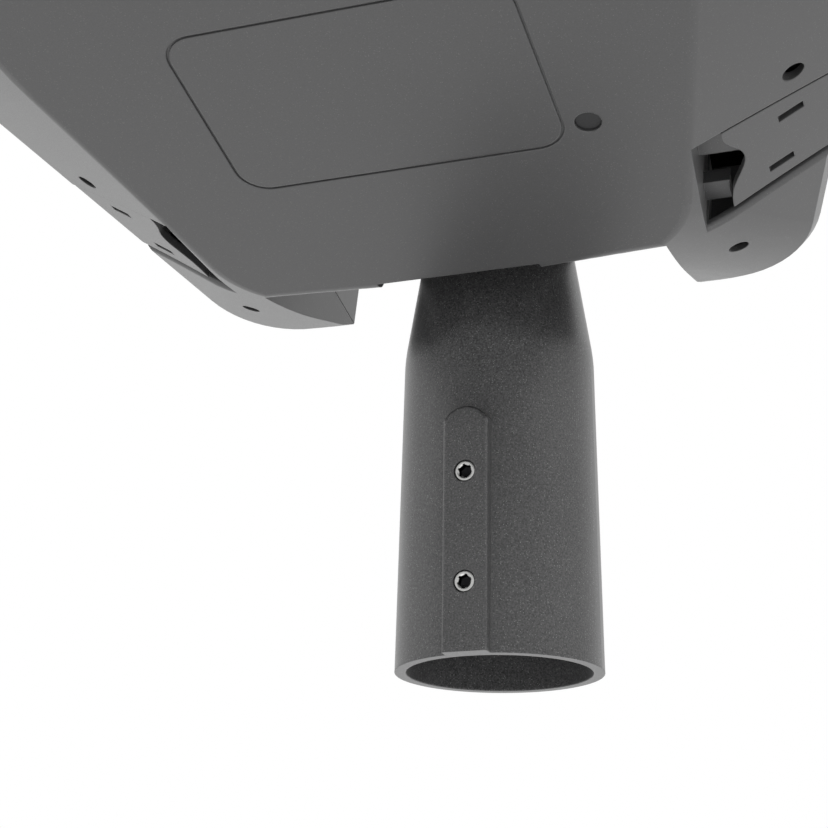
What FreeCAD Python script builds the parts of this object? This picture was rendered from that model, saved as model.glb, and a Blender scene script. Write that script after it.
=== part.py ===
"""LED street light head on a tilting pole-top spigot, as a parametric FreeCAD document.

The spigot stands on +Z with its mouth at the origin. Everything on the head is drawn level in a head frame,
whose origin is the tilt pivot, with -Y to the front, and is then placed on the pivot at the rest tilt.
"""
import FreeCAD, Part
import math
import os
import Sketcher
from FreeCAD import Placement, Rotation, Vector

# Driving dimensions in millimetres and degrees: name, value, what it measures.
SIZES = (
    ("pole_bore", 62.0, "bore that takes the pole top"),
    ("bore_depth", 72.0, "depth of the straight pole bore"),
    ("spigot_wall", 3.75, "spigot wall at its mouth"),
    ("spigot_length", 109.6, "drafted tube below the neck"),
    ("spigot_draft", 1.0, "draft of the tube, degrees per side"),
    ("neck_angle", 9.0, "half angle of the neck cone, degrees"),
    ("neck_length", 38.4, "height of the neck cone"),
    ("neck_blend", 60.0, "blend from tube to neck"),
    ("core_radius", 22.0, "cored space above the pole bore"),
    ("core_height", 50.0, "height of the cored space"),
    ("cable_way", 16.0, "cable hole through the knuckle"),
    ("pad_width", 15.0, "raised screw pad on the spigot"),
    ("pad_height", 81.3, "top of the pad's arch above the mouth"),
    ("pad_crown", 8.3, "radius of the pad's arched top"),
    ("pad_proud", 3.6, "pad face beyond the mouth radius"),
    ("pad_round", 1.2, "rounding of the pad's edges"),
    ("pad_root", 0.3, "metal left between pad root and bore"),
    ("screw_low", 22.5, "lower set screw above the mouth"),
    ("screw_pitch", 36.5, "distance between the set screws"),
    ("set_screw_dia", 7.2, "set screw diameter"),
    ("set_screw_length", 6.6, "set screw length"),
    ("set_screw_hex", 4.0, "hexagon socket across flats"),
    ("set_screw_recess", 0.4, "set screw end below the pad face"),
    ("run_gap", 0.05, "radial running clearance of pins and screws"),
    ("pivot_height", 158.0, "tilt axis above the spigot mouth"),
    ("tilt_rest", 15.0, "head tilt at rest, front up, degrees"),
    ("knuckle_radius", 11.5, "barrel on top of the neck"),
    ("knuckle_width", 61.0, "length of the barrel between the ears"),
    ("ear_gap", 0.5, "side clearance between barrel and ear"),
    ("ear_thickness", 12.0, "pivot ear thickness"),
    ("ear_radius", 11.3, "round end of the pivot ear"),
    ("ear_rake", 39.6, "lean of the ear's lower edge, degrees"),
    ("bolt_dia", 10.0, "pivot bolt diameter"),
    ("bolt_grip", 15.0, "bolt length inside the barrel"),
    ("bolt_head_flats", 17.0, "bolt head across flats"),
    ("bolt_head_height", 6.4, "bolt head height"),
    ("washer_dia", 21.0, "pivot washer diameter"),
    ("washer_thickness", 2.0, "pivot washer thickness"),
    ("face_gap", 0.1, "face clearance between turning pieces"),
    ("plate_drop", 45.0, "underside plate below the pivot"),
    ("waist_rise", 32.0, "waist of the hull above the plate"),
    ("brow_rise", 6.0, "rim above the waist"),
    ("plate_rear", 31.7, "rear edge of the plate ahead of the pivot"),
    ("waist_rear", 23.0, "rear end of the waist behind the pivot"),
    ("brow_rear", 8.0, "rim behind the waist"),
    ("brow_side", 3.0, "rim beside the waist"),
    ("plate_shoulder", 161.5, "station where the plate's sides become straight"),
    ("waist_shoulder", 138.7, "station where the waist's sides become straight"),
    ("plate_flare", 0.23, "sideways growth of the plate per millimetre"),
    ("waist_flare", 0.29, "sideways growth of the waist per millimetre"),
    ("head_width", 308.0, "greatest width over the rim"),
    ("head_reach", 560.0, "front end ahead of the pivot"),
    ("side_inset", 49.0, "plate edge inside the rim along the sides"),
    ("front_inset", 42.0, "plate edge inside the rim at the front"),
    ("plate_corner", 32.0, "rear corner radius of the plate"),
    ("waist_corner", 33.0, "rear corner radius of the waist"),
    ("shoulder_radius", 160.0, "blend from flared to straight sides"),
    ("plate_nose", 80.0, "front corner radius of the plate"),
    ("waist_nose", 115.0, "front corner radius of the waist"),
    ("edge_round", 5.0, "rounding of the plate's edge"),
    ("wall", 3.0, "casting wall"),
    ("slot_width", 139.6, "rear slot between the wings, at the plate"),
    ("slot_draft", 4.9, "draft of the slot's walls, degrees"),
    ("slot_tuck", 2.4, "plate's rear edge further ahead at the slot's corners"),
    ("ledge", 6.0, "thickness of the plate's rear ledge"),
    ("bay_front", 40.0, "front wall of the spigot bay ahead of the pivot"),
    ("notch_width", 56.0, "notch in the plate's rear edge"),
    ("notch_depth", 4.9, "depth of that notch"),
    ("gear_front", 176.0, "front wall of the gear space ahead of the pivot"),
    ("seal_rear_width", 148.0, "gear space width at its rear"),
    ("seal_front_width", 190.0, "gear space width at its front"),
    ("seal_corner", 8.0, "inner corner radius of the gear space"),
    ("drain_dia", 6.4, "drain holes of the rim gutter"),
    ("drain_rear_inset", 25.9, "rear drains inside the waist"),
    ("drain_rear_y", 11.2, "rear drains ahead of the pivot"),
    ("drain_side_inset", 17.7, "side drains inside the waist"),
    ("drain_side_y", 84.5, "side drains ahead of the pivot"),
    ("label_rear", 89.7, "rear edge of the shallow label field"),
    ("label_width", 106.0, "width of the label field"),
    ("label_length", 68.0, "length of the label field"),
    ("label_groove", 0.9, "width of the groove round the label field"),
    ("label_depth", 0.8, "depth of that groove"),
    ("label_corner", 10.0, "corner radius of the label field"),
    ("recess_rear", 35.0, "rear ridge of the latch recess ahead of the pivot"),
    ("recess_front", 79.5, "front edge of the latch recess at the plate"),
    ("recess_skew", 0.14, "rearward run of the front edge per millimetre"),
    ("recess_margin_front", 0.4, "recess beside the plate's edge at its front"),
    ("recess_margin_rear", 6.4, "recess beside the plate's edge at its rear"),
    ("ridge_round", 1.8, "rounding of that ridge's edge"),
    ("recess_setback", 7.0, "widening of the recess behind its rear lip"),
    ("rib_gap", 0.8, "gap between the ribs and the latch"),
    ("rib_rise", 16.0, "level underside of the ribs above the plate"),
    ("rib_height", 5.0, "height of the ribs"),
    ("rib_sweep", 5.0, "rearward travel of the latch past the ribs as the lid opens"),
    ("catch_width", 8.2, "width of the catch rib"),
    ("catch_station", 42.2, "catch rib ahead of the pivot"),
    ("stop_station", 59.3, "rear face of the stop rib ahead of the pivot"),
    ("latch_sink", 0.4, "latch face below the sloped skin"),
    ("latch_thickness", 3.4, "latch plate, measured upright"),
    ("latch_gap", 1.1, "gap round the latch"),
    ("latch_rear_gap", 3.2, "gap at the latch's rear edge"),
    ("finger_front", 8.6, "finger gap beside the latch at the recess's front"),
    ("finger_rear", 9.2, "finger gap beside the latch at the recess's rear"),
    ("scoop_depth", 5.4, "finger scoop in the free edge"),
    ("scoop_station", 59.5, "middle of the scoop ahead of the pivot"),
    ("scoop_width", 31.5, "length of the scoop"),
    ("latch_axis_inset", 16.0, "latch axis inside the waist"),
    ("latch_axis_drop", 5.6, "latch axis below the waist"),
    ("latch_barrel", 2.0, "radius of the latch barrel and its lugs"),
    ("latch_pin_dia", 2.0, "latch pin"),
    ("lug_rear", 45.0, "rear latch lug ahead of the pivot"),
    ("lug_front", 66.5, "front latch lug ahead of the pivot"),
    ("lug_thickness", 1.8, "latch lug thickness"),
    ("lug_slot", 7.6, "length of the lug slots"),
    ("lug_slot_gap", 0.6, "clearance beside a lug"),
    ("barrel_overhang", 3.6, "barrel beyond each lug"),
    ("press_room", 9.0, "room in the lid above the latch's outer edge"),
    ("seal_thickness", 1.0, "lid gasket"),
    ("seal_gap", 0.2, "gasket to lid"),
    ("rim_gap", 0.4, "lid's skirt above the rim"),
    ("lid_roof", 38.0, "roof of the lid above the pivot"),
    ("lid_front", 176.0, "foot of the lid's sloped front ahead of the pivot"),
    ("lid_toe", 4.0, "lid base ahead of that foot"),
    ("lid_sill", 6.0, "height of that foot above the lid's base"),
    ("lid_side_draft", 13.0, "lean of the lid's sides"),
    ("lid_rear_draft", 1.0, "lean of the lid's rear"),
    ("lid_front_rake", 34.0, "run of the lid's sloped front"),
    ("lid_round", 9.0, "rounding of the lid's roof edge"),
    ("lid_front_corner", 12.0, "front corners of the lid"),
    ("lid_axis_y", 188.0, "lid hinge axis ahead of the pivot"),
    ("hinge_x", 75.0, "lid hinges beside the middle plane"),
    ("hinge_radius", 4.5, "lid hinge knuckles"),
    ("hinge_tab", 12.0, "width of the lid's hinge tab"),
    ("hinge_lug", 5.0, "width of each housing hinge lug"),
    ("hinge_gap", 0.4, "side clearance in the lid hinge"),
    ("hinge_pin_dia", 4.0, "lid hinge pin"),
    ("bridge_rear", 182.0, "rear face of the bridge between gear and optic"),
    ("bridge_front", 194.0, "front face of that bridge"),
    ("band_rise", 10.0, "upstand of the front rim"),
    ("band_wall", 6.0, "wall of the front trough"),
    ("band_draft", 2.5, "lean of the upstand"),
    ("deck_thickness", 6.5, "heat sink base above the LED boards"),
    ("fin_count", 13.0, "cooling fins"),
    ("fin_pitch", 18.0, "distance between fins"),
    ("fin_thickness", 3.2, "fin thickness"),
    ("fin_root", 1.0, "fin foot inside the deck and the bridge"),
    ("fin_top", 4.0, "top of the middle fin above the pivot"),
    ("fin_crown", 0.0008, "fall of the fin tops per square millimetre"),
    ("fin_slope", 26.0, "sloped ends of the fins"),
    ("optic_rear", 204.0, "rear end of the optic field ahead of the pivot"),
    ("optic_depth", 9.0, "depth of the optic field"),
    ("optic_gap", 1.5, "gap round and between the lens plates"),
    ("optic_corner", 6.0, "corner radius of the optic field"),
    ("optic_side", 65.0, "lens plates inside the rim"),
    ("optic_front", 67.5, "front end of the optic field behind the head's front"),
    ("lens_thickness", 3.0, "lens plate base"),
    ("lens_column_count", 6.0, "lenses across a plate"),
    ("lens_row_count", 4.0, "lenses along a plate"),
    ("lens_radius", 9.0, "foot radius of a lens dome"),
    ("lens_height", 4.6, "height of a lens dome"),
    ("frame_height", 3.0, "optic gasket height"),
    ("frame_width", 6.0, "optic gasket width"),
    ("board_gap", 1.0, "LED board inside its gasket"),
    ("board_thickness", 1.6, "LED board thickness"),
    ("chip_size", 5.0, "LED chip across"),
    ("chip_height", 0.9, "LED chip height"),
    ("lens_screw_dia", 4.0, "lens screw"),
    ("lens_screw_head", 7.0, "lens screw head"),
    ("lens_screw_length", 9.0, "lens screw below its head"),
    ("driver_width", 140.0, "LED driver across the head"),
    ("driver_length", 60.0, "LED driver along the head"),
    ("driver_height", 35.0, "LED driver height"),
    ("driver_front", 168.0, "front face of the driver ahead of the pivot"),
    ("driver_foot", 12.0, "mounting foot at each end of the driver"),
    ("driver_foot_thickness", 3.0, "thickness of the driver's feet"),
    ("driver_screw_dia", 4.0, "driver screw"),
    ("block_width", 46.0, "terminal block across the head"),
    ("block_length", 20.0, "terminal block along the head"),
    ("block_height", 18.0, "terminal block height"),
    ("block_x", 34.0, "terminal block beside the middle plane"),
    ("block_rear", 66.0, "rear face of the terminal block"),
    ("pole_count", 3.0, "wire ways of the terminal block"),
    ("surge_width", 44.0, "surge protector across the head"),
    ("surge_length", 26.0, "surge protector along the head"),
    ("surge_height", 24.0, "surge protector height"),
    ("surge_x", 36.0, "surge protector beside the middle plane"),
    ("gland_dia", 16.0, "cable gland thread"),
    ("gland_flats", 22.0, "cable gland hexagon"),
    ("gland_cable", 9.0, "cable hole in the gland"),
    ("gland_flange", 4.0, "gland flange in the spigot bay"),
    ("gland_nut", 6.0, "gland nut in the gear space"),
    ("gland_drop", 27.5, "gland axis below the pivot"),
    ("vent_dia", 14.0, "breather vent"),
    ("vent_height", 5.0, "breather vent above the floor"),
    ("vent_stem", 8.0, "breather stem diameter"),
    ("vent_x", 60.0, "breather beside the middle plane"),
    ("vent_y", 98.0, "breather ahead of the pivot"),
    ("earth_dia", 5.0, "earth screw"),
    ("earth_head", 10.0, "earth screw head"),
    ("earth_boss", 6.0, "height of the earth boss"),
    ("earth_x", 0.0, "earth screw beside the middle plane"),
    ("earth_y", 76.0, "earth screw ahead of the pivot"),
)

DOC = FreeCAD.newDocument("StreetLight")
SHEET = DOC.addObject("Spreadsheet::Sheet", "Sizes")
NODES = []
SIDES = (("left", -1), ("right", 1))
FAR = 400.0
TINY = 1e-6
SCOOP_POINTS = 9
EDGE_POINTS = 5


class SizeReader:
    """Reads a driving dimension from the sheet by its name."""

    def __getattr__(self, name):
        return float(SHEET.get(name))


S = SizeReader()


def fill_sheet():
    """Write every driving dimension to the sheet with its alias."""
    for row, (name, value, meaning) in enumerate(SIZES, start=1):
        SHEET.set("A%d" % row, meaning)
        SHEET.set("B%d" % row, str(value))
        SHEET.setAlias("B%d" % row, name)
    DOC.recompute()


def head_placement():
    """Place of the head frame: on the pivot, tilted front up."""
    return Placement(Vector(0, 0, S.pivot_height), Rotation(Vector(1, 0, 0), -S.tilt_rest))


def keep(node, placement=None):
    """Enter a finished sub-part in the list of nodes to write."""
    if placement is not None:
        node.Placement = placement
    NODES.append(node)
    return node


def keep_shape(label, shape, placement):
    """Make a sub-part from a finished shape and place it."""
    node = DOC.addObject("Part::Feature", label)
    node.Label = label
    node.Shape = shape
    return keep(node, placement)


# Shape helpers in the head frame.

def span_box(x0, x1, y0, y1, z0, z1):
    """Box between two corners."""
    return Part.makeBox(x1 - x0, y1 - y0, z1 - z0, Vector(x0, y0, z0))


def rod(radius, start, end):
    """Cylinder between two points."""
    axis = end - start
    return Part.makeCylinder(radius, axis.Length, start, axis)


def hexagon(flats, start, end):
    """Hexagonal bar along X or Y between two points."""
    axis = end - start
    turn = Rotation(Vector(0, 0, 1), axis)
    corners = []
    for step in range(7):
        angle = math.radians(60 * step + 30)
        corner = Vector(math.cos(angle), math.sin(angle), 0) * (flats / math.sqrt(3))
        corners.append(start + turn.multVec(corner))
    return Part.Face(Part.makePolygon(corners)).extrude(axis)


def rounded_outline(corners, height, inset=0.0):
    """Closed wire through corners given as (x, y, radius), rounded by arcs and moved inwards by an inset."""
    arcs = []
    for index, (x, y, radius) in enumerate(corners):
        here = Vector(x, y, height)
        before = Vector(*corners[index - 1][:2], height) - here
        after = Vector(*corners[(index + 1) % len(corners)][:2], height) - here
        before.normalize()
        after.normalize()
        half = before.getAngle(after) / 2
        middle = before + after
        middle.normalize()
        here += middle * (inset / math.sin(half))
        radius -= inset
        reach = radius / math.tan(half)
        crown = here + middle * (radius / math.sin(half) - radius)
        arcs.append((here + before * reach, crown, here + after * reach))
    edges = []
    for index, (start, crown, end) in enumerate(arcs):
        edges.append(Part.Arc(start, crown, end).toShape())
        edges.append(Part.LineSegment(end, arcs[(index + 1) % len(arcs)][0]).toShape())
    return Part.Wire(edges)


def both_sides(right):
    """Corners of a symmetric outline from those of its right half, rear to front."""
    return right + [(-x, y, radius) for x, y, radius in reversed(right)]


def prism(wire, height):
    """Upright solid on a flat closed wire."""
    return Part.Face(wire).extrude(Vector(0, 0, height))


def plan_prism(points, z0, z1):
    """Upright solid on a polygon given in plan."""
    corners = [Vector(x, y, z0) for x, y in points]
    return prism(Part.makePolygon(corners + corners[:1]), z1 - z0)


def mirrored(shape):
    """The same shape on the other side of the middle plane."""
    return shape.mirror(Vector(0, 0, 0), Vector(1, 0, 0))


# Levels and outlines of the head.

def plate_z():
    return -S.plate_drop


def waist_z():
    return plate_z() + S.waist_rise


def hull_rise():
    return S.waist_rise + S.brow_rise


def rim_z():
    return plate_z() + hull_rise()


def floor_z():
    return plate_z() + S.wall


def lid_base_z():
    return rim_z() + S.seal_thickness + S.seal_gap


def lid_rim_z():
    return rim_z() + S.rim_gap


def lid_axis_z():
    """Level of the lid's hinge axis, clear of the bridge."""
    return rim_z() + S.band_rise + S.hinge_radius + S.hinge_gap


def waist_wide():
    """Greatest half width of the waist."""
    return S.head_width / 2 - S.brow_side


def plate_wide():
    """Greatest half width of the plate."""
    return S.head_width / 2 - S.side_inset


def waist_x(ahead):
    """Half width of the flared waist at a distance ahead of the pivot."""
    return waist_wide() - S.waist_flare * (S.waist_shoulder - ahead)


def plate_x(ahead):
    """Half width of the flared plate at a distance ahead of the pivot."""
    return plate_wide() - S.plate_flare * (S.plate_shoulder - ahead)


def plate_corners():
    """Right half of the plate's outline."""
    return [
        (plate_x(S.plate_rear), -S.plate_rear, S.plate_corner),
        (plate_wide(), -S.plate_shoulder, S.shoulder_radius),
        (plate_wide(), -(S.head_reach - S.front_inset), S.plate_nose),
    ]


def waist_corners():
    """Right half of the waist's outline."""
    return [
        (waist_x(-S.waist_rear), S.waist_rear, S.waist_corner),
        (waist_wide(), -S.waist_shoulder, S.shoulder_radius),
        (waist_wide(), -(S.head_reach - S.brow_side), S.waist_nose),
    ]


def rim_corners():
    """Right half of the rim's outline."""
    rear = S.waist_rear + S.brow_rear
    return [
        (waist_x(-rear) + S.brow_side, rear, S.waist_corner + S.brow_rear),
        (S.head_width / 2, -S.waist_shoulder, S.shoulder_radius),
        (S.head_width / 2, -S.head_reach, S.waist_nose + S.brow_side),
    ]


def hull_section(height, inset=0.0):
    """Outline of the hull at a height above the plate, moved inwards by an inset."""
    low, high, share = plate_corners(), waist_corners(), height / S.waist_rise
    if height > S.waist_rise:
        low, high, share = waist_corners(), rim_corners(), (height - S.waist_rise) / S.brow_rise
    corners = []
    for start, end in zip(low, high):
        corners.append(tuple(a + (b - a) * share for a, b in zip(start, end)))
    return rounded_outline(both_sides(corners), plate_z() + height, inset)


def hull_loft(base, inset=0.0):
    """Solid inside the hull from a height above the plate to the rim, moved inwards by an inset."""
    heights = (base, S.waist_rise, hull_rise())
    return Part.makeLoft([hull_section(height, inset) for height in heights], True, True)


def hull_solid():
    """The whole lower hull: flat plate, sloped sides, brow and rim."""
    hull = hull_loft(0)
    edges = []
    for edge in hull.Edges:
        if all(abs(vertex.Z - plate_z()) < TINY for vertex in edge.Vertexes):
            edges.append(edge)
    return hull.makeFillet(S.edge_round, edges)


def seal_outline(height, grow=0.0):
    """Inner outline of the wall round the gear space, moved outwards by a distance."""
    right = [
        (S.seal_rear_width / 2, -(S.bay_front + S.wall), S.seal_corner),
        (S.seal_front_width / 2, -(S.gear_front - S.wall), S.seal_corner),
    ]
    return rounded_outline(both_sides(right), height, -grow)


def seal_ring(z0, z1):
    """Wall round the gear space between two levels."""
    return prism(seal_outline(z0, S.wall), z1 - z0).cut(prism(seal_outline(z0), z1 - z0))


def slot_half(z):
    """Half width of the drafted rear slot at a level; it stays the same above the rim."""
    rise = min(z, rim_z()) - plate_z()
    return S.slot_width / 2 - rise * math.tan(math.radians(S.slot_draft))


def slot_block(front, grow, z0, z1):
    """Space between the wings behind a front plane, grown sideways by a wall."""
    levels = [z0] + [rim_z()] * (z0 < rim_z() < z1) + [z1]
    right = [Vector(slot_half(z) + grow, front, z) for z in levels]
    left = [Vector(-corner.x, front, corner.z) for corner in reversed(right)]
    section = Part.Face(Part.makePolygon(right + left + right[:1]))
    return section.extrude(Vector(0, FAR - front, 0))


def bay_block(grow, z0, z1):
    """Space of the spigot bay behind its front wall, grown by a wall."""
    return slot_block(-(S.bay_front + grow), grow, z0, z1)


def ledge_y(x):
    """Plate's rear edge in the slot, at a station beside the middle plane."""
    half_notch = S.notch_width / 2
    return -(S.plate_rear + S.slot_tuck * (x - half_notch) / (S.slot_width / 2 - half_notch))


def slot_cut():
    """Rear slot with its front edge tucked ahead towards its corners."""
    half = S.slot_width / 2 + S.wall
    right = [(S.notch_width / 2, -S.plate_rear), (half, ledge_y(half)), (half, FAR)]
    plan = right + [(-x, y) for x, y in reversed(right)]
    low = plate_z() - S.wall
    return slot_block(ledge_y(half), 0, low, FAR).common(plan_prism(plan, low, FAR))


def ledge_rounding():
    """What is taken off the lower edge of the right half of the plate's rear ledge."""
    inner = S.notch_width / 2
    outer = S.slot_width / 2 + S.wall
    start = Vector(inner, ledge_y(inner), plate_z())
    end = Vector(outer, ledge_y(outer), plate_z())
    ahead = Vector(0, -S.edge_round, 0)
    over = Vector(0, 0, S.edge_round)
    behind = Vector(0, S.wall, 0)
    below = Vector(0, 0, -S.wall)
    crown = start + (ahead + over) * (1 - math.sqrt(0.5))
    corners = [start + ahead, start + ahead + below, start + behind + below, start + behind + over, start + over]
    edges = [Part.LineSegment(one, two).toShape() for one, two in zip(corners, corners[1:])]
    edges.append(Part.Arc(start + over, crown, start + ahead).toShape())
    bar = Part.Face(Part.Wire(edges)).extrude(end - start)
    return slot_block(end.y - S.edge_round, 0, plate_z() - S.wall, plate_z() + S.edge_round).common(bar)


def recess_inner_front():
    """Inner edge of the latch recess beside the middle plane, at its front."""
    return plate_x(S.recess_front) + S.recess_margin_front


def recess_inner_rear():
    """Inner edge of the latch recess beside the middle plane, at its rear."""
    return plate_x(S.recess_rear) + S.recess_margin_rear


def recess_prism(grow, setback, z0, z1):
    """Upright prism over the right latch recess, grown by a wall and set back at its rear."""
    rear = -(S.recess_rear - setback - grow)
    front = -(S.recess_front + grow)
    outer = S.head_width
    inner_front = recess_inner_front() - grow
    points = [
        (recess_inner_rear() - grow, rear),
        (inner_front, front),
        (outer, front + S.recess_skew * (outer - inner_front)),
        (outer, rear),
    ]
    return plan_prism(points, z0, z1)


def skin_run():
    """Level run of the sloped skin from the plate to the waist."""
    return S.side_inset - S.brow_side


def skin_drop():
    """Upright thickness of the sloped skin."""
    return S.wall * math.hypot(S.waist_rise, skin_run()) / skin_run()


def skin_inset():
    """Level thickness of the sloped skin."""
    return S.wall * math.hypot(S.waist_rise, skin_run()) / S.waist_rise


# Pole spigot.

def origin_plane(body, role):
    """Origin plane of a body by its role."""
    return next(item for item in body.Origin.OriginFeatures if item.Role == role)


def sketch_on(body, name, role, offset=None):
    """Empty sketch on an origin plane, moved along its normal by an expression."""
    sketch = body.newObject("Sketcher::SketchObject", name)
    sketch.AttachmentSupport = [(origin_plane(body, role), "")]
    sketch.MapMode = "FlatFace"
    if offset is not None:
        sketch.setExpression(".AttachmentOffset.Base.z", offset)
    return sketch


def constrain(sketch, constraint, expression):
    """Add a constraint whose value follows an expression."""
    index = sketch.addConstraint(constraint)
    sketch.setExpression("Constraints[%d]" % index, expression)


def pin_point(sketch, geometry, end, x, y):
    """Fix a point of a sketch at two expressions."""
    constrain(sketch, Sketcher.Constraint("DistanceX", -1, 1, geometry, end, sketch.evalExpression(x)), x)
    constrain(sketch, Sketcher.Constraint("DistanceY", -1, 1, geometry, end, sketch.evalExpression(y)), y)


def draw_polygon(sketch, points):
    """Closed polygon whose corners follow pairs of expressions."""
    places = [Vector(sketch.evalExpression(x), sketch.evalExpression(y), 0) for x, y in points]
    first = sketch.GeometryCount
    for index, place in enumerate(places):
        sketch.addGeometry(Part.LineSegment(place, places[(index + 1) % len(places)]))
    for index in range(len(points)):
        following = first + (index + 1) % len(points)
        sketch.addConstraint(Sketcher.Constraint("Coincident", first + index, 2, following, 1))
    for index, (x, y) in enumerate(points):
        pin_point(sketch, first + index, 1, x, y)


def draw_circle(sketch, radius, x, y):
    """Circle whose radius and centre follow expressions."""
    centre = Vector(sketch.evalExpression(x), sketch.evalExpression(y), 0)
    value = sketch.evalExpression(radius)
    index = sketch.addGeometry(Part.Circle(centre, Vector(0, 0, 1), value))
    constrain(sketch, Sketcher.Constraint("Radius", index, value), radius)
    pin_point(sketch, index, 3, x, y)


def draw_rectangle(sketch, width, x, y0, y1):
    """Rectangle about a centre line between two levels, all expressions."""
    half = "(%s) / 2" % width
    left = "(%s) - %s" % (x, half)
    right = "(%s) + %s" % (x, half)
    draw_polygon(sketch, [(left, y0), (right, y0), (right, y1), (left, y1)])


def draw_arched_pad(sketch):
    """Upright pad standing on the mouth with an arched top."""
    half = sketch.evalExpression("Sizes.pad_width / 2")
    crown = sketch.evalExpression("Sizes.pad_crown")
    spring = "Sizes.pad_height - Sizes.pad_crown + sqrt(Sizes.pad_crown ^ 2 - Sizes.pad_width ^ 2 / 4)"
    level = sketch.evalExpression(spring)
    corners = [Vector(-half, level, 0), Vector(-half, 0, 0), Vector(half, 0, 0), Vector(half, level, 0)]
    lines = [sketch.addGeometry(Part.LineSegment(a, b)) for a, b in zip(corners, corners[1:])]
    rise = math.acos(half / crown)
    middle = Vector(0, sketch.evalExpression("Sizes.pad_height") - crown, 0)
    ring = Part.Circle(middle, Vector(0, 0, 1), crown)
    arch = sketch.addGeometry(Part.ArcOfCircle(ring, rise, math.pi - rise))
    for line, following in zip(lines, lines[1:] + [arch]):
        sketch.addConstraint(Sketcher.Constraint("Coincident", line, 2, following, 1))
    sketch.addConstraint(Sketcher.Constraint("Coincident", arch, 2, lines[0], 1))
    pin_point(sketch, lines[0], 1, "-Sizes.pad_width / 2", spring)
    pin_point(sketch, lines[1], 1, "-Sizes.pad_width / 2", "0")
    pin_point(sketch, lines[2], 1, "Sizes.pad_width / 2", "0")
    pin_point(sketch, arch, 1, "Sizes.pad_width / 2", spring)
    constrain(sketch, Sketcher.Constraint("Radius", arch, crown), "Sizes.pad_crown")


def feature(body, kind, name, sketch, length=None, **settings):
    """Sketch-based feature with its length bound to an expression."""
    made = body.newObject("PartDesign::" + kind, name)
    made.Profile = sketch
    if length is not None:
        made.setExpression("Length", length)
    for setting, value in settings.items():
        setattr(made, setting, value)
    return made


def on_neck_ring(point):
    """Whether a point lies on the ring between tube and neck."""
    return abs(point.z - S.spigot_length) < TINY


def on_pad_rim(point):
    """Whether a point lies on the rim of the pad's face, above the mouth."""
    face = S.pole_bore / 2 + S.spigot_wall + S.pad_proud
    return abs(point.y + face) < TINY and point.z > TINY


def rounding(body, name, base, radius, chosen):
    """Fillet the edges of a feature whose middle is chosen, with a radius that follows an expression."""
    DOC.recompute()
    edges = []
    for index, edge in enumerate(base.Shape.Edges, start=1):
        if chosen(edge.valueAt((edge.FirstParameter + edge.LastParameter) / 2)):
            edges.append("Edge%d" % index)
    fillet = body.newObject("PartDesign::Fillet", name)
    fillet.Base = (base, edges)
    fillet.setExpression("Radius", radius)


def new_body(label):
    """Empty body with its label."""
    body = DOC.addObject("PartDesign::Body", label)
    body.Label = label
    return body


def build_spigot():
    """Cast spigot: drafted tube, neck cone, knuckle barrel, screw pad and bores."""
    body = new_body("spigot")
    bore = "Sizes.pole_bore / 2"
    mouth = "Sizes.pole_bore / 2 + Sizes.spigot_wall"
    waist = mouth + " - Sizes.spigot_length * tan(Sizes.spigot_draft * 1 deg)"
    neck = waist + " - Sizes.neck_length * tan(Sizes.neck_angle * 1 deg)"
    core_top = "Sizes.bore_depth + Sizes.core_height"
    funnel = "Sizes.core_radius - Sizes.cable_way / 2"
    profile = sketch_on(body, "SpigotProfile", "XZ_Plane")
    draw_polygon(profile, [
        (bore, "0"),
        (mouth, "0"),
        (waist, "Sizes.spigot_length"),
        (neck, "Sizes.spigot_length + Sizes.neck_length"),
        ("Sizes.knuckle_radius / 2 + Sizes.cable_way / 4", "Sizes.pivot_height"),
        ("Sizes.cable_way / 2", "Sizes.pivot_height"),
        ("Sizes.cable_way / 2", core_top + " + " + funnel),
        ("Sizes.core_radius", core_top),
        ("Sizes.core_radius", "Sizes.bore_depth"),
        (bore, "Sizes.bore_depth"),
    ])
    turned = feature(body, "Revolution", "Tube", profile)
    turned.ReferenceAxis = (profile, ["V_Axis"])
    turned.Angle = 360
    rounding(body, "NeckBlend", turned, "Sizes.neck_blend", on_neck_ring)
    barrel = sketch_on(body, "BarrelCircle", "YZ_Plane")
    draw_circle(barrel, "Sizes.knuckle_radius", "0", "Sizes.pivot_height")
    feature(body, "Pad", "Barrel", barrel, "Sizes.knuckle_width", Midplane=True)
    face = mouth + " + Sizes.pad_proud"
    pad_length = "Sizes.spigot_wall + Sizes.pad_proud - Sizes.pad_root"
    outline = sketch_on(body, "PadOutline", "XZ_Plane", face)
    draw_arched_pad(outline)
    pad = feature(body, "Pad", "ScrewPad", outline, pad_length, Reversed=True)
    rounding(body, "PadRound", pad, "Sizes.pad_round", on_pad_rim)
    way = sketch_on(body, "CableCircle", "XY_Plane", "Sizes.pivot_height")
    draw_circle(way, "Sizes.cable_way / 2", "0", "0")
    feature(body, "Pocket", "CableWay", way, "Sizes.knuckle_radius * 4", Midplane=True)
    screws = sketch_on(body, "ScrewCircles", "XZ_Plane", face)
    hole = "Sizes.set_screw_dia / 2 + Sizes.run_gap"
    draw_circle(screws, hole, "0", "Sizes.screw_low")
    draw_circle(screws, hole, "0", "Sizes.screw_low + Sizes.screw_pitch")
    feature(body, "Pocket", "ScrewHoles", screws, "Sizes.pad_proud + Sizes.spigot_wall + Sizes.pole_bore / 4")
    axle = sketch_on(body, "BoltCircle", "YZ_Plane")
    draw_circle(axle, "Sizes.bolt_dia / 2 + Sizes.run_gap", "0", "Sizes.pivot_height")
    feature(body, "Pocket", "BoltHole", axle, "Sizes.knuckle_width * 2", Midplane=True)
    keep(body)


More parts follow.
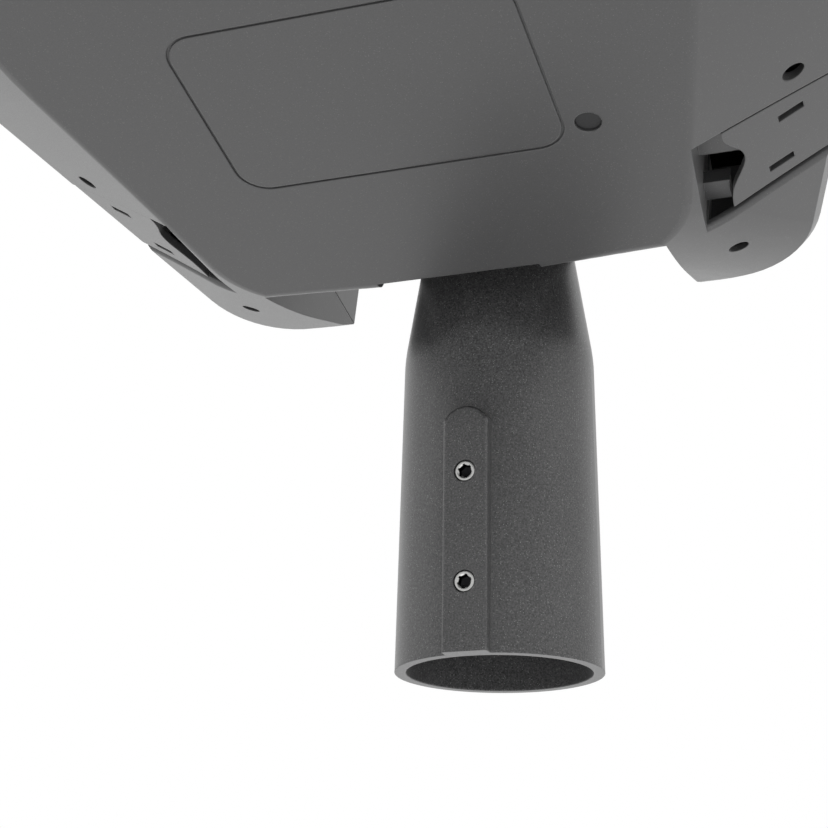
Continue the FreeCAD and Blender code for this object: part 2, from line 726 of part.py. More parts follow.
def build_set_screws():
    """Two hexagon socket set screws that clamp the pole through the pad."""
    for label, height in (("set_screw_lower", S.screw_low), ("set_screw_upper", S.screw_low + S.screw_pitch)):
        shank = DOC.addObject("Part::Cylinder", label + "_shank")
        shank.setExpression("Radius", "Sizes.set_screw_dia / 2")
        shank.setExpression("Height", "Sizes.set_screw_length")
        socket = DOC.addObject("Part::Prism", label + "_socket")
        socket.Polygon = 6
        socket.setExpression("Circumradius", "Sizes.set_screw_hex / sqrt(3)")
        socket.setExpression("Height", "Sizes.set_screw_length / 2")
        socket.setExpression(".Placement.Base.z", "Sizes.set_screw_length / 2")
        screw = DOC.addObject("Part::Cut", label)
        screw.Base = shank
        screw.Tool = socket
        screw.Label = label
        face = S.pole_bore / 2 + S.spigot_wall + S.pad_proud
        tip = face - S.set_screw_recess - S.set_screw_length
        keep(screw, Placement(Vector(0, -tip, height), Rotation(Vector(1, 0, 0), 90)))


def ear_face():
    """Outer face of the pivot ears beside the middle plane."""
    return S.knuckle_width / 2 + S.ear_gap + S.ear_thickness


def build_pivot_bolts():
    """A hexagon bolt and a washer on each side of the tilt joint."""
    bolts = []
    washers = []
    for _, side in SIDES:
        washer_in = ear_face() + S.face_gap
        washer_out = washer_in + S.washer_thickness
        tip = S.knuckle_width / 2 - S.bolt_grip
        shank = rod(S.bolt_dia / 2, Vector(side * tip, 0, 0), Vector(side * washer_out, 0, 0))
        head_end = Vector(side * (washer_out + S.bolt_head_height), 0, 0)
        head = hexagon(S.bolt_head_flats, Vector(side * washer_out, 0, 0), head_end)
        bolts.append(shank.fuse(head).removeSplitter())
        disc = rod(S.washer_dia / 2, Vector(side * washer_in, 0, 0), Vector(side * washer_out, 0, 0))
        hole = rod(S.bolt_dia / 2 + S.run_gap, Vector(0, 0, 0), Vector(side * FAR, 0, 0))
        washers.append(disc.cut(hole))
    place = Placement(Vector(0, 0, S.pivot_height), Rotation())
    keep_shape("pivot_bolts", Part.makeCompound(bolts), place)
    keep_shape("pivot_washers", Part.makeCompound(washers), place)


# Lower housing.

def pivot_ear(side):
    """Ear of the tilt joint, from the bay's front wall to a round end on the pivot."""
    inner = S.knuckle_width / 2 + S.ear_gap
    radius = S.ear_radius
    root = -S.bay_front
    clear = root + S.wall
    rake = math.radians(S.ear_rake)
    corners = [
        Vector(inner, root, floor_z()),
        Vector(inner, clear, floor_z()),
        Vector(inner, radius * math.sin(rake), -radius * math.cos(rake)),
        Vector(inner, 0, radius),
        Vector(inner, clear, rim_z() + radius / 2),
        Vector(inner, clear, rim_z()),
        Vector(inner, root, rim_z()),
    ]
    web = Part.Face(Part.makePolygon(corners + corners[:1])).extrude(Vector(S.ear_thickness, 0, 0))
    end = rod(radius, Vector(inner, 0, 0), Vector(inner + S.ear_thickness, 0, 0))
    hole = rod(S.bolt_dia / 2 + S.run_gap, Vector(0, 0, 0), Vector(FAR, 0, 0))
    ear = web.fuse(end).cut(hole)
    return ear if side > 0 else mirrored(ear)


def front_line(x):
    """Front edge of the latch recess at a distance beside the middle plane."""
    return -S.recess_front + S.recess_skew * (x - recess_inner_front())


def free_edge(y):
    """Free edge of the right latch beside the middle plane: straight, with a finger scoop."""
    share = (-y - S.recess_rear) / (S.recess_front - S.recess_rear)
    rear = recess_inner_rear() + S.finger_rear
    front = recess_inner_front() + S.finger_front
    x = rear + (front - rear) * share
    phase = 2 * math.pi * (y + S.scoop_station) / S.scoop_width
    if abs(phase) < math.pi:
        x += S.scoop_depth * (1 + math.cos(phase)) / 2
    return x


def recess_rib(rear, front):
    """Level block on the inner wall of the right latch recess, ending short of the latch's free edge."""
    inner = recess_inner_rear() - S.wall
    points = [(inner, rear)]
    for step in range(EDGE_POINTS):
        y = rear + (front - rear) * step / (EDGE_POINTS - 1)
        passing = [free_edge(y - S.rib_sweep * part / EDGE_POINTS) for part in range(EDGE_POINTS + 1)]
        points.append((min(passing) - S.rib_gap, y))
    points.append((inner, front))
    foot = plate_z() + S.rib_rise
    return plan_prism(points, foot, foot + S.rib_height)


def recess_ribs():
    """Catch rib and stop rib of the right latch recess."""
    half = S.catch_width / 2
    catch = recess_rib(-S.catch_station + half, -S.catch_station - half)
    return catch.fuse(recess_rib(-S.stop_station, -S.recess_front - S.wall / 2))


def lens_width():
    """Lens plate across the head."""
    return S.head_width - 2 * S.optic_side


def lens_length():
    """Lens plate along the head: half of the optic field, less its gaps."""
    return (S.head_reach - S.optic_front - S.optic_rear - 3 * S.optic_gap) / 2


def optic_field():
    """Rear and front end and half width of the optic field."""
    rear = -S.optic_rear
    front = rear - 2 * lens_length() - 3 * S.optic_gap
    return rear, front, lens_width() / 2 + S.optic_gap


def rectangle_prism(half, rear, front, corner, z0, z1):
    """Upright prism on a rounded rectangle."""
    return prism(rounded_outline(both_sides([(half, rear, corner), (half, front, corner)]), z0), z1 - z0)


def deck_z():
    return plate_z() + S.optic_depth + S.deck_thickness


def label_groove():
    """Narrow groove round the label field."""
    top = plate_z() + S.label_depth
    front = -(S.label_rear + S.label_length)
    inner = S.label_groove
    outside = rectangle_prism(S.label_width / 2, -S.label_rear, front, S.label_corner, -FAR, top)
    inside = rectangle_prism(S.label_width / 2 - inner, -S.label_rear - inner, front + inner,
                             S.label_corner - inner, -FAR, top)
    return outside.cut(inside)


def trough_solid():
    """Open space over the heat sink deck."""
    low = hull_loft(deck_z() - plate_z(), S.band_wall)
    high = prism(hull_section(hull_rise(), S.band_wall), FAR / 4)
    ahead = span_box(-FAR, FAR, -2 * FAR, -S.bridge_front, -FAR, FAR)
    return low.fuse(high).common(ahead)


def front_band():
    """Upstand of the rim round the heat sink, with the bridge behind it."""
    top = hull_section(hull_rise(), S.band_draft)
    top.translate(Vector(0, 0, S.band_rise))
    band = Part.makeLoft([hull_section(hull_rise()), top], True, True)
    return band.common(span_box(-FAR, FAR, -2 * FAR, -S.bridge_rear, -FAR, FAR))


def cooling_fins(trough):
    """Upright fins along the head, lower towards the sides and sloped at both ends."""
    fins = []
    count = int(round(S.fin_count))
    rear = -S.bridge_front
    front = -S.head_reach
    for index in range(count):
        x = (index - (count - 1) / 2) * S.fin_pitch
        top = S.fin_top - S.fin_crown * x * x
        slope = S.fin_slope
        nose = front + S.band_wall + abs(x) * abs(x) / S.head_width
        side = x - S.fin_thickness / 2
        foot = deck_z() - S.fin_root
        corners = [
            Vector(side, rear + S.fin_root, foot),
            Vector(side, rear + S.fin_root, rim_z()),
            Vector(side, rear - slope, top),
            Vector(side, nose + 3 * slope, top),
            Vector(side, nose, rim_z()),
            Vector(side, nose, foot),
        ]
        face = Part.Face(Part.makePolygon(corners + corners[:1]))
        fins.append(face.extrude(Vector(S.fin_thickness, 0, 0)))
    below = span_box(-FAR, FAR, -2 * FAR, rear, plate_z(), deck_z())
    space = trough.fuse(below.common(hull_solid()))
    return [fin.common(space) for fin in fins]


def lens_centres():
    """Middle of each lens plate, rear then front."""
    rear = optic_field()[0] - S.optic_gap - lens_length() / 2
    return (("rear", rear), ("front", rear - lens_length() - S.optic_gap))


def lens_screw_places(middle):
    """Six screw places on the gasket line of a lens plate."""
    x = lens_width() / 2 - S.frame_width / 2
    y = lens_length() / 2 - S.frame_width / 2
    return [(side * x, middle + end * y) for side in (-1, 1) for end in (-1, 0, 1)]


def lens_screw_cuts(radius, z0, z1):
    """Upright holes at every lens screw."""
    cuts = []
    for _, middle in lens_centres():
        for x, y in lens_screw_places(middle):
            cuts.append(rod(radius, Vector(x, y, z0), Vector(x, y, z1)))
    return cuts


def driver_screw_places():
    """Middle of each driver foot."""
    x = S.driver_width / 2 + S.driver_foot / 2
    return [(side * x, -S.driver_front + S.driver_length / 2) for side in (-1, 1)]


def hinge_lugs():
    """Two lugs at each lid hinge, standing on the bridge."""
    lugs = []
    for _, side in SIDES:
        for end in (-1, 1):
            near = S.hinge_tab / 2 + S.hinge_gap
            x0 = side * S.hinge_x + end * near
            x1 = x0 + end * S.hinge_lug
            axis0 = Vector(min(x0, x1), -S.lid_axis_y, lid_axis_z())
            axis1 = Vector(max(x0, x1), -S.lid_axis_y, lid_axis_z())
            round_end = rod(S.hinge_radius, axis0, axis1)
            foot = span_box(axis0.x, axis1.x, -S.lid_axis_y - S.hinge_radius, -S.lid_axis_y + S.hinge_radius,
                            rim_z(), lid_axis_z())
            hole = rod(S.hinge_pin_dia / 2 + S.run_gap, axis0 - Vector(1, 0, 0), axis1 + Vector(1, 0, 0))
            lugs.append(round_end.fuse(foot).cut(hole))
    return lugs


def ridge_edges(body, hull):
    """Edges where the rear ridge of each latch recess meets the sloped skin."""
    skin = hull.Shells[0]
    edges = []
    for edge in body.Edges:
        middle = edge.valueAt((edge.FirstParameter + edge.LastParameter) / 2)
        points = [vertex.Point for vertex in edge.Vertexes] + [middle]
        on_ridge = all(abs(point.y + S.recess_rear) < TINY for point in points)
        if on_ridge and middle.z < waist_z() and skin.distToShape(Part.Vertex(middle))[0] < TINY:
            edges.append(edge)
    return edges


def build_lower_housing():
    """Main casting: hull with spigot bay, gear space, latch recesses, optic field and fins."""
    hull = hull_solid()
    dish = hull_loft(S.wall, skin_inset())
    gear_zone = span_box(-FAR, FAR, -S.gear_front, FAR, -FAR, FAR)
    trough = trough_solid()
    inner_walls = [
        seal_ring(plate_z() + S.wall / 2, rim_z()),
        bay_block(S.wall, plate_z() + S.wall / 2, rim_z()),
    ]
    recess_walls = recess_prism(S.wall, S.recess_setback, plate_z(), rim_z())
    inner_walls += [recess_walls, mirrored(recess_walls)]
    body = hull.cut(dish.common(gear_zone))
    body = body.fuse([wall.common(hull) for wall in inner_walls])
    body = body.fuse(front_band())
    deep = hull.translated(Vector(0, 0, skin_drop()))
    chamber = recess_prism(0, S.recess_setback, plate_z(), FAR).common(deep)
    mouth = recess_prism(0, 0, -FAR, FAR)
    half_notch = S.notch_width / 2
    ledge_edge = ledge_rounding()
    rear_field, front_field, half_field = optic_field()
    cuts = [
        chamber, mirrored(chamber), mouth, mirrored(mouth),
        bay_block(0, plate_z() + S.ledge, FAR),
        slot_cut(), ledge_edge, mirrored(ledge_edge),
        span_box(-half_notch, half_notch, -(S.plate_rear + S.notch_depth), FAR,
                 -FAR, plate_z() + S.ledge),
        trough,
        rectangle_prism(half_field, rear_field, front_field, S.optic_corner, -FAR, plate_z() + S.optic_depth),
        label_groove(),
        rod(S.gland_dia / 2 + S.run_gap, Vector(0, -S.bay_front - 2 * S.wall, -S.gland_drop),
            Vector(0, 0, -S.gland_drop)),
        rod(S.vent_stem / 2 + S.run_gap, Vector(S.vent_x, -S.vent_y, -FAR), Vector(S.vent_x, -S.vent_y, 0)),
    ]
    for inset, y in ((S.drain_rear_inset, S.drain_rear_y), (S.drain_side_inset, S.drain_side_y)):
        x = waist_x(y) - inset
        for _, side in SIDES:
            cuts.append(rod(S.drain_dia / 2, Vector(side * x, -y, -FAR), Vector(side * x, -y, FAR)))
    body = body.cut(cuts)
    ribs = recess_ribs()
    earth = rod(S.earth_head / 2 + S.wall / 2, Vector(S.earth_x, -S.earth_y, plate_z() + S.wall / 2),
                Vector(S.earth_x, -S.earth_y, floor_z() + S.earth_boss))
    body = body.fuse([pivot_ear(-1), pivot_ear(1), ribs, mirrored(ribs), earth] + hinge_lugs()
                     + cooling_fins(trough))
    top = plate_z() + S.optic_depth
    tapped = lens_screw_cuts(S.lens_screw_dia / 2 + S.run_gap, plate_z(), top + S.lens_screw_length)
    for x, y in driver_screw_places():
        start = Vector(x, y, plate_z() + S.wall / 2)
        tapped.append(rod(S.driver_screw_dia / 2 + S.run_gap, start, Vector(x, y, 0)))
    tapped.append(rod(S.earth_dia / 2 + S.run_gap, Vector(S.earth_x, -S.earth_y, floor_z()),
                      Vector(S.earth_x, -S.earth_y, 0)))
    body = body.cut(tapped).removeSplitter()
    body = body.makeFillet(S.ridge_round, ridge_edges(body, hull))
    keep_shape("lower_housing", body, head_placement())


# Gear lid, its hinge and its latches.

def lid_rake(inset):
    """Space ahead of the lid's sloped front, moved inwards by an inset."""
    sill = lid_base_z() + S.lid_sill
    rise = S.lid_roof - sill
    shift = inset * math.hypot(rise, S.lid_front_rake) / rise
    low = Vector(-FAR, -S.lid_front + shift, sill)
    high = low + Vector(0, 2 * S.lid_front_rake, 2 * rise)
    ahead = Vector(0, -FAR, 0)
    corners = [low, high, high + ahead, low + ahead, low]
    return Part.Face(Part.makePolygon(corners)).extrude(Vector(2 * FAR, 0, 0))


def lid_form(inset, roof):
    """Lid form between its base and a roof level, moved inwards by an inset."""
    base = rim_corners()[:2] + [(S.head_width / 2, -(S.lid_front + S.lid_toe), S.lid_front_corner)]
    leans = (-S.lid_rear_draft, 0, S.lid_toe)
    crown = []
    for (x, y, radius), lean in zip(base, leans):
        crown.append((x - S.lid_side_draft, y + lean, radius))
    low = rounded_outline(both_sides(base), lid_rim_z(), inset)
    high = rounded_outline(both_sides(crown), roof, inset)
    return Part.makeLoft([low, high], True, True).cut(lid_rake(inset))


def lug_places():
    """Axis points of the right latch lugs, rear then front."""
    height = waist_z() - S.latch_axis_drop
    stations = (S.lug_rear, S.lug_front)
    return [Vector(waist_x(ahead) - S.latch_axis_inset, -ahead, height) for ahead in stations]


def latch_lug(place, top):
    """Lug that hangs from the lid to the latch axis, with a round end."""
    half = S.lug_thickness / 2
    radius = S.latch_barrel
    start = place - Vector(0, half, 0)
    end = place + Vector(0, half, 0)
    stem = span_box(place.x - radius, place.x + radius, start.y, end.y, place.z, top)
    return stem.fuse(rod(radius, start, end))


def latch_axis(overhang):
    """Ends of the right latch axis, lengthened past both lugs."""
    rear, front = lug_places()
    along = front - rear
    along.normalize()
    return rear - along * overhang, front + along * overhang


def build_gear_lid():
    """Hood over the gear space with the seal wall, the spigot bay, hinge tabs and latch lugs."""
    outer = lid_form(0, S.lid_roof)
    edges = []
    for edge in outer.Edges:
        if all(abs(vertex.Z - S.lid_roof) < TINY for vertex in edge.Vertexes):
            edges.append(edge)
    outer = outer.makeFillet(S.lid_round, edges)
    inner = lid_form(S.wall, S.lid_roof - S.wall)
    base = lid_base_z()
    carrier_z = base + S.press_room
    carrier = recess_prism(0, 0, carrier_z, carrier_z + S.wall).common(outer)
    walls = [seal_ring(base, S.lid_roof).common(outer), bay_block(S.wall, lid_rim_z(), S.lid_roof).common(outer)]
    lugs = [latch_lug(place, carrier_z + S.wall / 2) for place in lug_places()]
    body = outer.cut(inner).fuse(walls + [carrier, mirrored(carrier)])
    room = recess_prism(0, 0, base - S.wall, carrier_z)
    seat = prism(seal_outline(rim_z(), S.wall + S.seal_gap), base - rim_z())
    body = body.cut([bay_block(0, base - S.wall, S.lid_roof - S.wall), room, mirrored(room), seat])
    body = body.fuse(lugs + [mirrored(lug) for lug in lugs])
    pin_start, pin_end = latch_axis(S.barrel_overhang)
    pin_hole = rod(S.latch_pin_dia / 2 + S.run_gap, pin_start, pin_end)
    tabs = []
    holes = [pin_hole, mirrored(pin_hole)]
    for _, side in SIDES:
        x0 = side * S.hinge_x - S.hinge_tab / 2
        x1 = side * S.hinge_x + S.hinge_tab / 2
        start = Vector(x0, -S.lid_axis_y, lid_axis_z())
        end = Vector(x1, -S.lid_axis_y, lid_axis_z())
        arm = span_box(x0, x1, -S.lid_axis_y, -S.lid_front + S.lid_front_rake / 2,
                       lid_axis_z() - S.wall / 2, lid_axis_z() + S.hinge_radius)
        tabs.append(arm.fuse(rod(S.hinge_radius, start, end)))
        along = Vector(S.hinge_tab, 0, 0)
        holes.append(rod(S.hinge_pin_dia / 2 + S.run_gap, start - along, end + along))
    body = body.fuse(tabs).cut(holes).removeSplitter()
    keep_shape("gear_lid", body, head_placement())


def build_lid_gasket():
    """Flat seal on top of the gear space wall."""
    ring = prism(seal_outline(rim_z(), S.wall - S.face_gap), S.seal_thickness)
    inner = prism(seal_outline(rim_z()), S.seal_thickness)
    keep_shape("lid_gasket", ring.cut(inner), head_placement())


def build_hinge_pins():
    """Hinge pins of the lid."""
    pins = []
    half = S.hinge_tab / 2 + S.hinge_gap + S.hinge_lug
    for _, side in SIDES:
        middle = Vector(side * S.hinge_x, -S.lid_axis_y, lid_axis_z())
        pins.append(rod(S.hinge_pin_dia / 2, middle - Vector(half, 0, 0), middle + Vector(half, 0, 0)))
    keep_shape("lid_hinge_pins", Part.makeCompound(pins), head_placement())


def latch_outline():
    """Plan outline of the right latch plate: straight ends and a scooped free edge."""
    rear = -(S.recess_rear + S.latch_rear_gap)
    outer = S.head_width
    front_inner = front_line(recess_inner_front() + S.finger_front) + S.latch_gap
    front_outer = front_line(outer) + S.latch_gap
    points = []
    for step in range(SCOOP_POINTS):
        y = rear + (front_inner - rear) * step / (SCOOP_POINTS - 1)
        points.append(Vector(free_edge(y), y, 0))
    scoop = Part.BSplineCurve()
    scoop.interpolate(points)
    corners = [points[-1], Vector(outer, front_outer, 0), Vector(outer, rear, 0), points[0]]
    return Part.Wire([scoop.toShape()] + Part.makePolygon(corners).Edges)


def build_latches():
    """Rocking side latches with their pins."""
    hull = hull_solid()
    outline = latch_outline()
    outline.translate(Vector(0, 0, plate_z()))
    slab = prism(outline, hull_rise() - S.latch_gap)
    slab = slab.common(hull.translated(Vector(0, 0, S.latch_sink)))
    slab = slab.cut(hull.translated(Vector(0, 0, S.latch_sink + S.latch_thickness)))
    start, end = latch_axis(S.barrel_overhang)
    barrel = rod(S.latch_barrel, start, end)
    cuts = [rod(S.latch_pin_dia / 2 + S.run_gap, start, end)]
    for place in lug_places():
        long = S.lug_slot / 2
        wide = S.lug_thickness / 2 + S.lug_slot_gap
        cuts.append(span_box(place.x - long, place.x + long, place.y - wide, place.y + wide, plate_z(), FAR))
    latch = slab.fuse(barrel).cut(cuts).removeSplitter()
    pin = rod(S.latch_pin_dia / 2, start, end)
    for name, side in SIDES:
        keep_shape("latch_" + name, latch if side > 0 else mirrored(latch), head_placement())
        keep_shape("latch_pin_" + name, pin if side > 0 else mirrored(pin), head_placement())


# Optic.

def build_optics():
    """LED boards, chips, gaskets, lens plates and their screws under the heat sink."""
    top = plate_z() + S.optic_depth
    base = top - S.frame_height - S.lens_thickness
    columns = int(round(S.lens_column_count))
    rows = int(round(S.lens_row_count))
    field_x = lens_width() - 2 * S.frame_width
    field_y = lens_length() - 2 * S.frame_width
    ball = (S.lens_radius ** 2 + S.lens_height ** 2) / (2 * S.lens_height)
    chips = []
    screws = []
    for name, middle in lens_centres():
        screw_clear = lens_screw_cuts(S.lens_screw_dia / 2 + S.run_gap, base - S.wall, top)
        half_x = lens_width() / 2
        half_y = lens_length() / 2
        board_x = half_x - S.frame_width - S.board_gap
        board_y = half_y - S.frame_width - S.board_gap
        board = span_box(-board_x, board_x, middle - board_y, middle + board_y, top - S.board_thickness, top)
        outer = rectangle_prism(half_x, middle + half_y, middle - half_y, S.optic_corner,
                                top - S.frame_height, top)
        inner = span_box(-half_x + S.frame_width, half_x - S.frame_width, middle - half_y + S.frame_width,
                         middle + half_y - S.frame_width, -FAR, top)
        plate = rectangle_prism(half_x, middle + half_y, middle - half_y, S.optic_corner,
                                base, base + S.lens_thickness)
        domes = []
        for column in range(columns):
            for row in range(rows):
                x = ((column + 0.5) / columns - 0.5) * field_x
                y = middle + ((row + 0.5) / rows - 0.5) * field_y
                centre = Vector(x, y, base - S.lens_height + ball)
                domes.append(Part.makeSphere(ball, centre))
                half = S.chip_size / 2
                low = top - S.board_thickness - S.chip_height
                chips.append(span_box(x - half, x + half, y - half, y + half, low, low + S.chip_height))
        below = span_box(-FAR, FAR, -2 * FAR, 0, base - S.lens_height, base)
        plate = plate.fuse([dome.common(below) for dome in domes]).cut(screw_clear).removeSplitter()
        keep_shape("led_board_" + name, board, head_placement())
        keep_shape("lens_gasket_" + name, outer.cut(inner).cut(screw_clear), head_placement())
        keep_shape("lens_plate_" + name, plate, head_placement())
        for x, y in lens_screw_places(middle):
            shank = rod(S.lens_screw_dia / 2, Vector(x, y, base), Vector(x, y, base + S.lens_screw_length))
            head = rod(S.lens_screw_head / 2, Vector(x, y, base - S.lens_screw_dia / 2), Vector(x, y, base))
            screws.append(shank.fuse(head).removeSplitter())
    keep_shape("led_chips", Part.makeCompound(chips), head_placement())
    keep_shape("lens_screws", Part.makeCompound(screws), head_placement())


# Gear space.

def build_driver():
    """Potted LED driver with a foot at each end, and its screws."""
    body = new_body("led_driver")
    rear = "-Sizes.driver_front + Sizes.driver_length"
    floor = "Sizes.wall - Sizes.plate_drop"
    foot = sketch_on(body, "DriverFoot", "XY_Plane", floor)
    draw_rectangle(foot, "Sizes.driver_width + 2 * Sizes.driver_foot", "0", "-Sizes.driver_front", rear)
    feature(body, "Pad", "Foot", foot, "Sizes.driver_foot_thickness")
    case = sketch_on(body, "DriverCase", "XY_Plane", floor)
    draw_rectangle(case, "Sizes.driver_width", "0", "-Sizes.driver_front", rear)
    feature(body, "Pad", "Case", case, "Sizes.driver_height")
    holes = sketch_on(body, "DriverHoles", "XY_Plane", floor)
    place = "Sizes.driver_width / 2 + Sizes.driver_foot / 2"
    middle = "-Sizes.driver_front + Sizes.driver_length / 2"
    for x in ("-(%s)" % place, place):
        draw_circle(holes, "Sizes.driver_screw_dia / 2 + Sizes.run_gap", x, middle)
    feature(body, "Pocket", "Holes", holes, "Sizes.driver_height", Reversed=True)
    keep(body, head_placement())
    screws = []
    for x, y in driver_screw_places():
        seat = floor_z() + S.driver_foot_thickness
        shank = rod(S.driver_screw_dia / 2, Vector(x, y, plate_z() + S.wall / 2), Vector(x, y, seat))
        head = rod(S.driver_screw_dia, Vector(x, y, seat), Vector(x, y, seat + S.driver_screw_dia / 2))
        screws.append(shank.fuse(head).removeSplitter())
    keep_shape("driver_screws", Part.makeCompound(screws), head_placement())


def build_terminal_block():
    """Terminal block with a wire way and a screw well for each pole."""
    body = new_body("terminal_block")
    floor = "Sizes.wall - Sizes.plate_drop"
    front = "-Sizes.block_rear - Sizes.block_length"
    foot = sketch_on(body, "BlockPlan", "XY_Plane", floor)
    draw_rectangle(foot, "Sizes.block_width", "Sizes.block_x", front, "-Sizes.block_rear")
    feature(body, "Pad", "Block", foot, "Sizes.block_height")
    wells = sketch_on(body, "ScrewWells", "XY_Plane", floor + " + Sizes.block_height")
    ways = sketch_on(body, "WireWays", "XZ_Plane", "Sizes.block_rear + Sizes.block_length")
    count = int(round(S.pole_count))
    for pole in range(count):
        x = "Sizes.block_x + Sizes.block_width * %.4f" % ((pole + 0.5) / count - 0.5)
        draw_circle(wells, "Sizes.block_length / 6", x, "-Sizes.block_rear - Sizes.block_length / 2")
        draw_circle(ways, "Sizes.block_height / 6", x, floor + " + Sizes.block_height / 3")
    feature(body, "Pocket", "Wells", wells, "Sizes.block_height / 3")
    feature(body, "Pocket", "Ways", ways, "Sizes.block_length / 3")
    keep(body, head_placement())


def build_surge_protector():
    """Surge protection block beside the terminals."""
    body = new_body("surge_protector")
    floor = "Sizes.wall - Sizes.plate_drop"
    front = "-Sizes.block_rear - Sizes.surge_length"
    plan = sketch_on(body, "SurgePlan", "XY_Plane", floor)
    draw_rectangle(plan, "Sizes.surge_width", "-Sizes.surge_x", front, "-Sizes.block_rear")
    feature(body, "Pad", "Case", plan, "Sizes.surge_height")
    keep(body, head_placement())


def build_small_fittings():
    """Cable gland, its nut, breather vent and earth screw."""
    wall_rear = -S.bay_front
    wall_front = wall_rear - S.wall
    axis = Vector(0, 0, -S.gland_drop)
    seat = axis + Vector(0, wall_rear, 0)
    thread = rod(S.gland_dia / 2, axis + Vector(0, wall_front - S.gland_nut - S.wall, 0), seat)
    flange = rod(S.gland_flats / 2, seat, seat + Vector(0, S.gland_flange, 0))
    cable = rod(S.gland_cable / 2, axis + Vector(0, -FAR, 0), axis + Vector(0, FAR, 0))
    keep_shape("cable_gland", thread.fuse(flange).cut(cable).removeSplitter(), head_placement())
    nut_seat = axis + Vector(0, wall_front, 0)
    nut = hexagon(S.gland_flats, nut_seat - Vector(0, S.gland_nut, 0), nut_seat)
    bore = rod(S.gland_dia / 2 + S.run_gap, axis + Vector(0, -FAR, 0), axis + Vector(0, FAR, 0))
    keep_shape("gland_nut", nut.cut(bore), head_placement())
    foot = Vector(S.vent_x, -S.vent_y, floor_z())
    stem = rod(S.vent_stem / 2, Vector(S.vent_x, -S.vent_y, plate_z() + S.wall / 4), foot)
    cap = rod(S.vent_dia / 2, foot, foot + Vector(0, 0, S.vent_height))
    keep_shape("breather_vent", stem.fuse(cap).removeSplitter(), head_placement())
    seat = Vector(S.earth_x, -S.earth_y, floor_z() + S.earth_boss)
    shank = rod(S.earth_dia / 2, Vector(S.earth_x, -S.earth_y, floor_z() + S.wall / 4), seat)
    head = rod(S.earth_head / 2, seat, seat + Vector(0, 0, S.earth_dia * 2 / 3))
    keep_shape("earth_screw", shank.fuse(head).removeSplitter(), head_placement())


def check_and_write():
    """Stop on a failed object or shape, then write one STEP file for each node."""
    DOC.recompute()
    for item in DOC.Objects:
        if "Invalid" in item.State or "Error" in item.State:
            raise RuntimeError("failed object: " + item.Label)
    for node in NODES:
        if node.Shape.isNull() or not node.Shape.isValid() or not node.Shape.Solids:
            raise RuntimeError("failed shape: " + node.Label)
    os.makedirs("parts", exist_ok=True)
    for node in NODES:
        node.Shape.exportStep("parts/%s.step" % node.Label)
        box = node.Shape.BoundBox
        print("%-18s %d solid(s) %8.2f cm3  x %.1f..%.1f  y %.1f..%.1f  z %.1f..%.1f" % (
            node.Label, len(node.Shape.Solids), node.Shape.Volume / 1000,
            box.XMin, box.XMax, box.YMin, box.YMax, box.ZMin, box.ZMax))


def main():
    fill_sheet()
    build_spigot()
    build_set_screws()
    build_pivot_bolts()
    build_lower_housing()
    build_gear_lid()
    build_lid_gasket()
    build_hinge_pins()
    build_latches()
    build_optics()
    build_driver()
    build_terminal_block()
    build_surge_protector()
    build_small_fittings()
    check_and_write()


main()
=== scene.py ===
"""Looks of an LED street light: finishes, fine fittings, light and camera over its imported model."""

import logging
import math
from dataclasses import dataclass
from enum import Enum

import bmesh
import bpy
from mathutils import Matrix, Vector


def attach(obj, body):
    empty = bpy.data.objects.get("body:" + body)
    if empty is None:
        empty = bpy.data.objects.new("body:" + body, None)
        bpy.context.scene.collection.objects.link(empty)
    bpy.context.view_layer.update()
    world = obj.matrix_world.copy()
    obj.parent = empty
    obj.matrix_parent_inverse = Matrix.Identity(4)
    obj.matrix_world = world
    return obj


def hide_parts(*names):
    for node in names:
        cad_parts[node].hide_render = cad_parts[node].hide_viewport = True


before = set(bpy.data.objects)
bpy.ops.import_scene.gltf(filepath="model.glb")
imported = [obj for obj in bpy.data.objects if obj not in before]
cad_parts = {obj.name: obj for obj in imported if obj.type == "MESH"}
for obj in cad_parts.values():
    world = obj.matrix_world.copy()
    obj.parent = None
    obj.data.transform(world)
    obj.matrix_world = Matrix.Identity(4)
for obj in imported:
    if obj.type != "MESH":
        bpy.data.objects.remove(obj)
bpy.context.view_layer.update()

LOG = logging.getLogger("street_light")
# Fittings are sized in millimetres and the studio in metres.
MM = 0.001
# Height of the tilt pivot in millimetres, the head's tilt at rest in degrees and the head's frame at rest.
TILT_PIVOT = 158.0
REST_TILT = 15.0
HEAD = Matrix.Translation((0, 0, TILT_PIVOT * MM)) @ Matrix.Rotation(math.radians(-REST_TILT), 4, "X")
# Level of the gear space's floor in the head's frame, in millimetres.
GEAR_FLOOR = -42.0
# Points of a ring, segments and samples of a rounded edge, and the angle above which an edge is sharp.
ROUND_STEPS = 48
EDGE_STEPS = 3
EDGE_SAMPLES = 6
SHARP_EDGE = math.radians(32)
QUARTER_TURN = math.radians(90)
# Range of most values of a noise texture, and the range that a share has.
NOISE_RANGE = (0.3, 0.7)
SHARE_RANGE = (0.0, 1.0)

Triple = tuple[float, float, float]
Colour = Triple
Pair = tuple[float, float]
Profile = tuple[Pair, ...]
Loop = list[Vector]
Socket = bpy.types.NodeSocket


class Body(Enum):
    """Moving bodies that a made piece can ride on."""

    SPIGOT = "spigot"
    HEAD = "head"
    SCREW_LOWER = "set_screw_lower"
    SCREW_UPPER = "set_screw_upper"


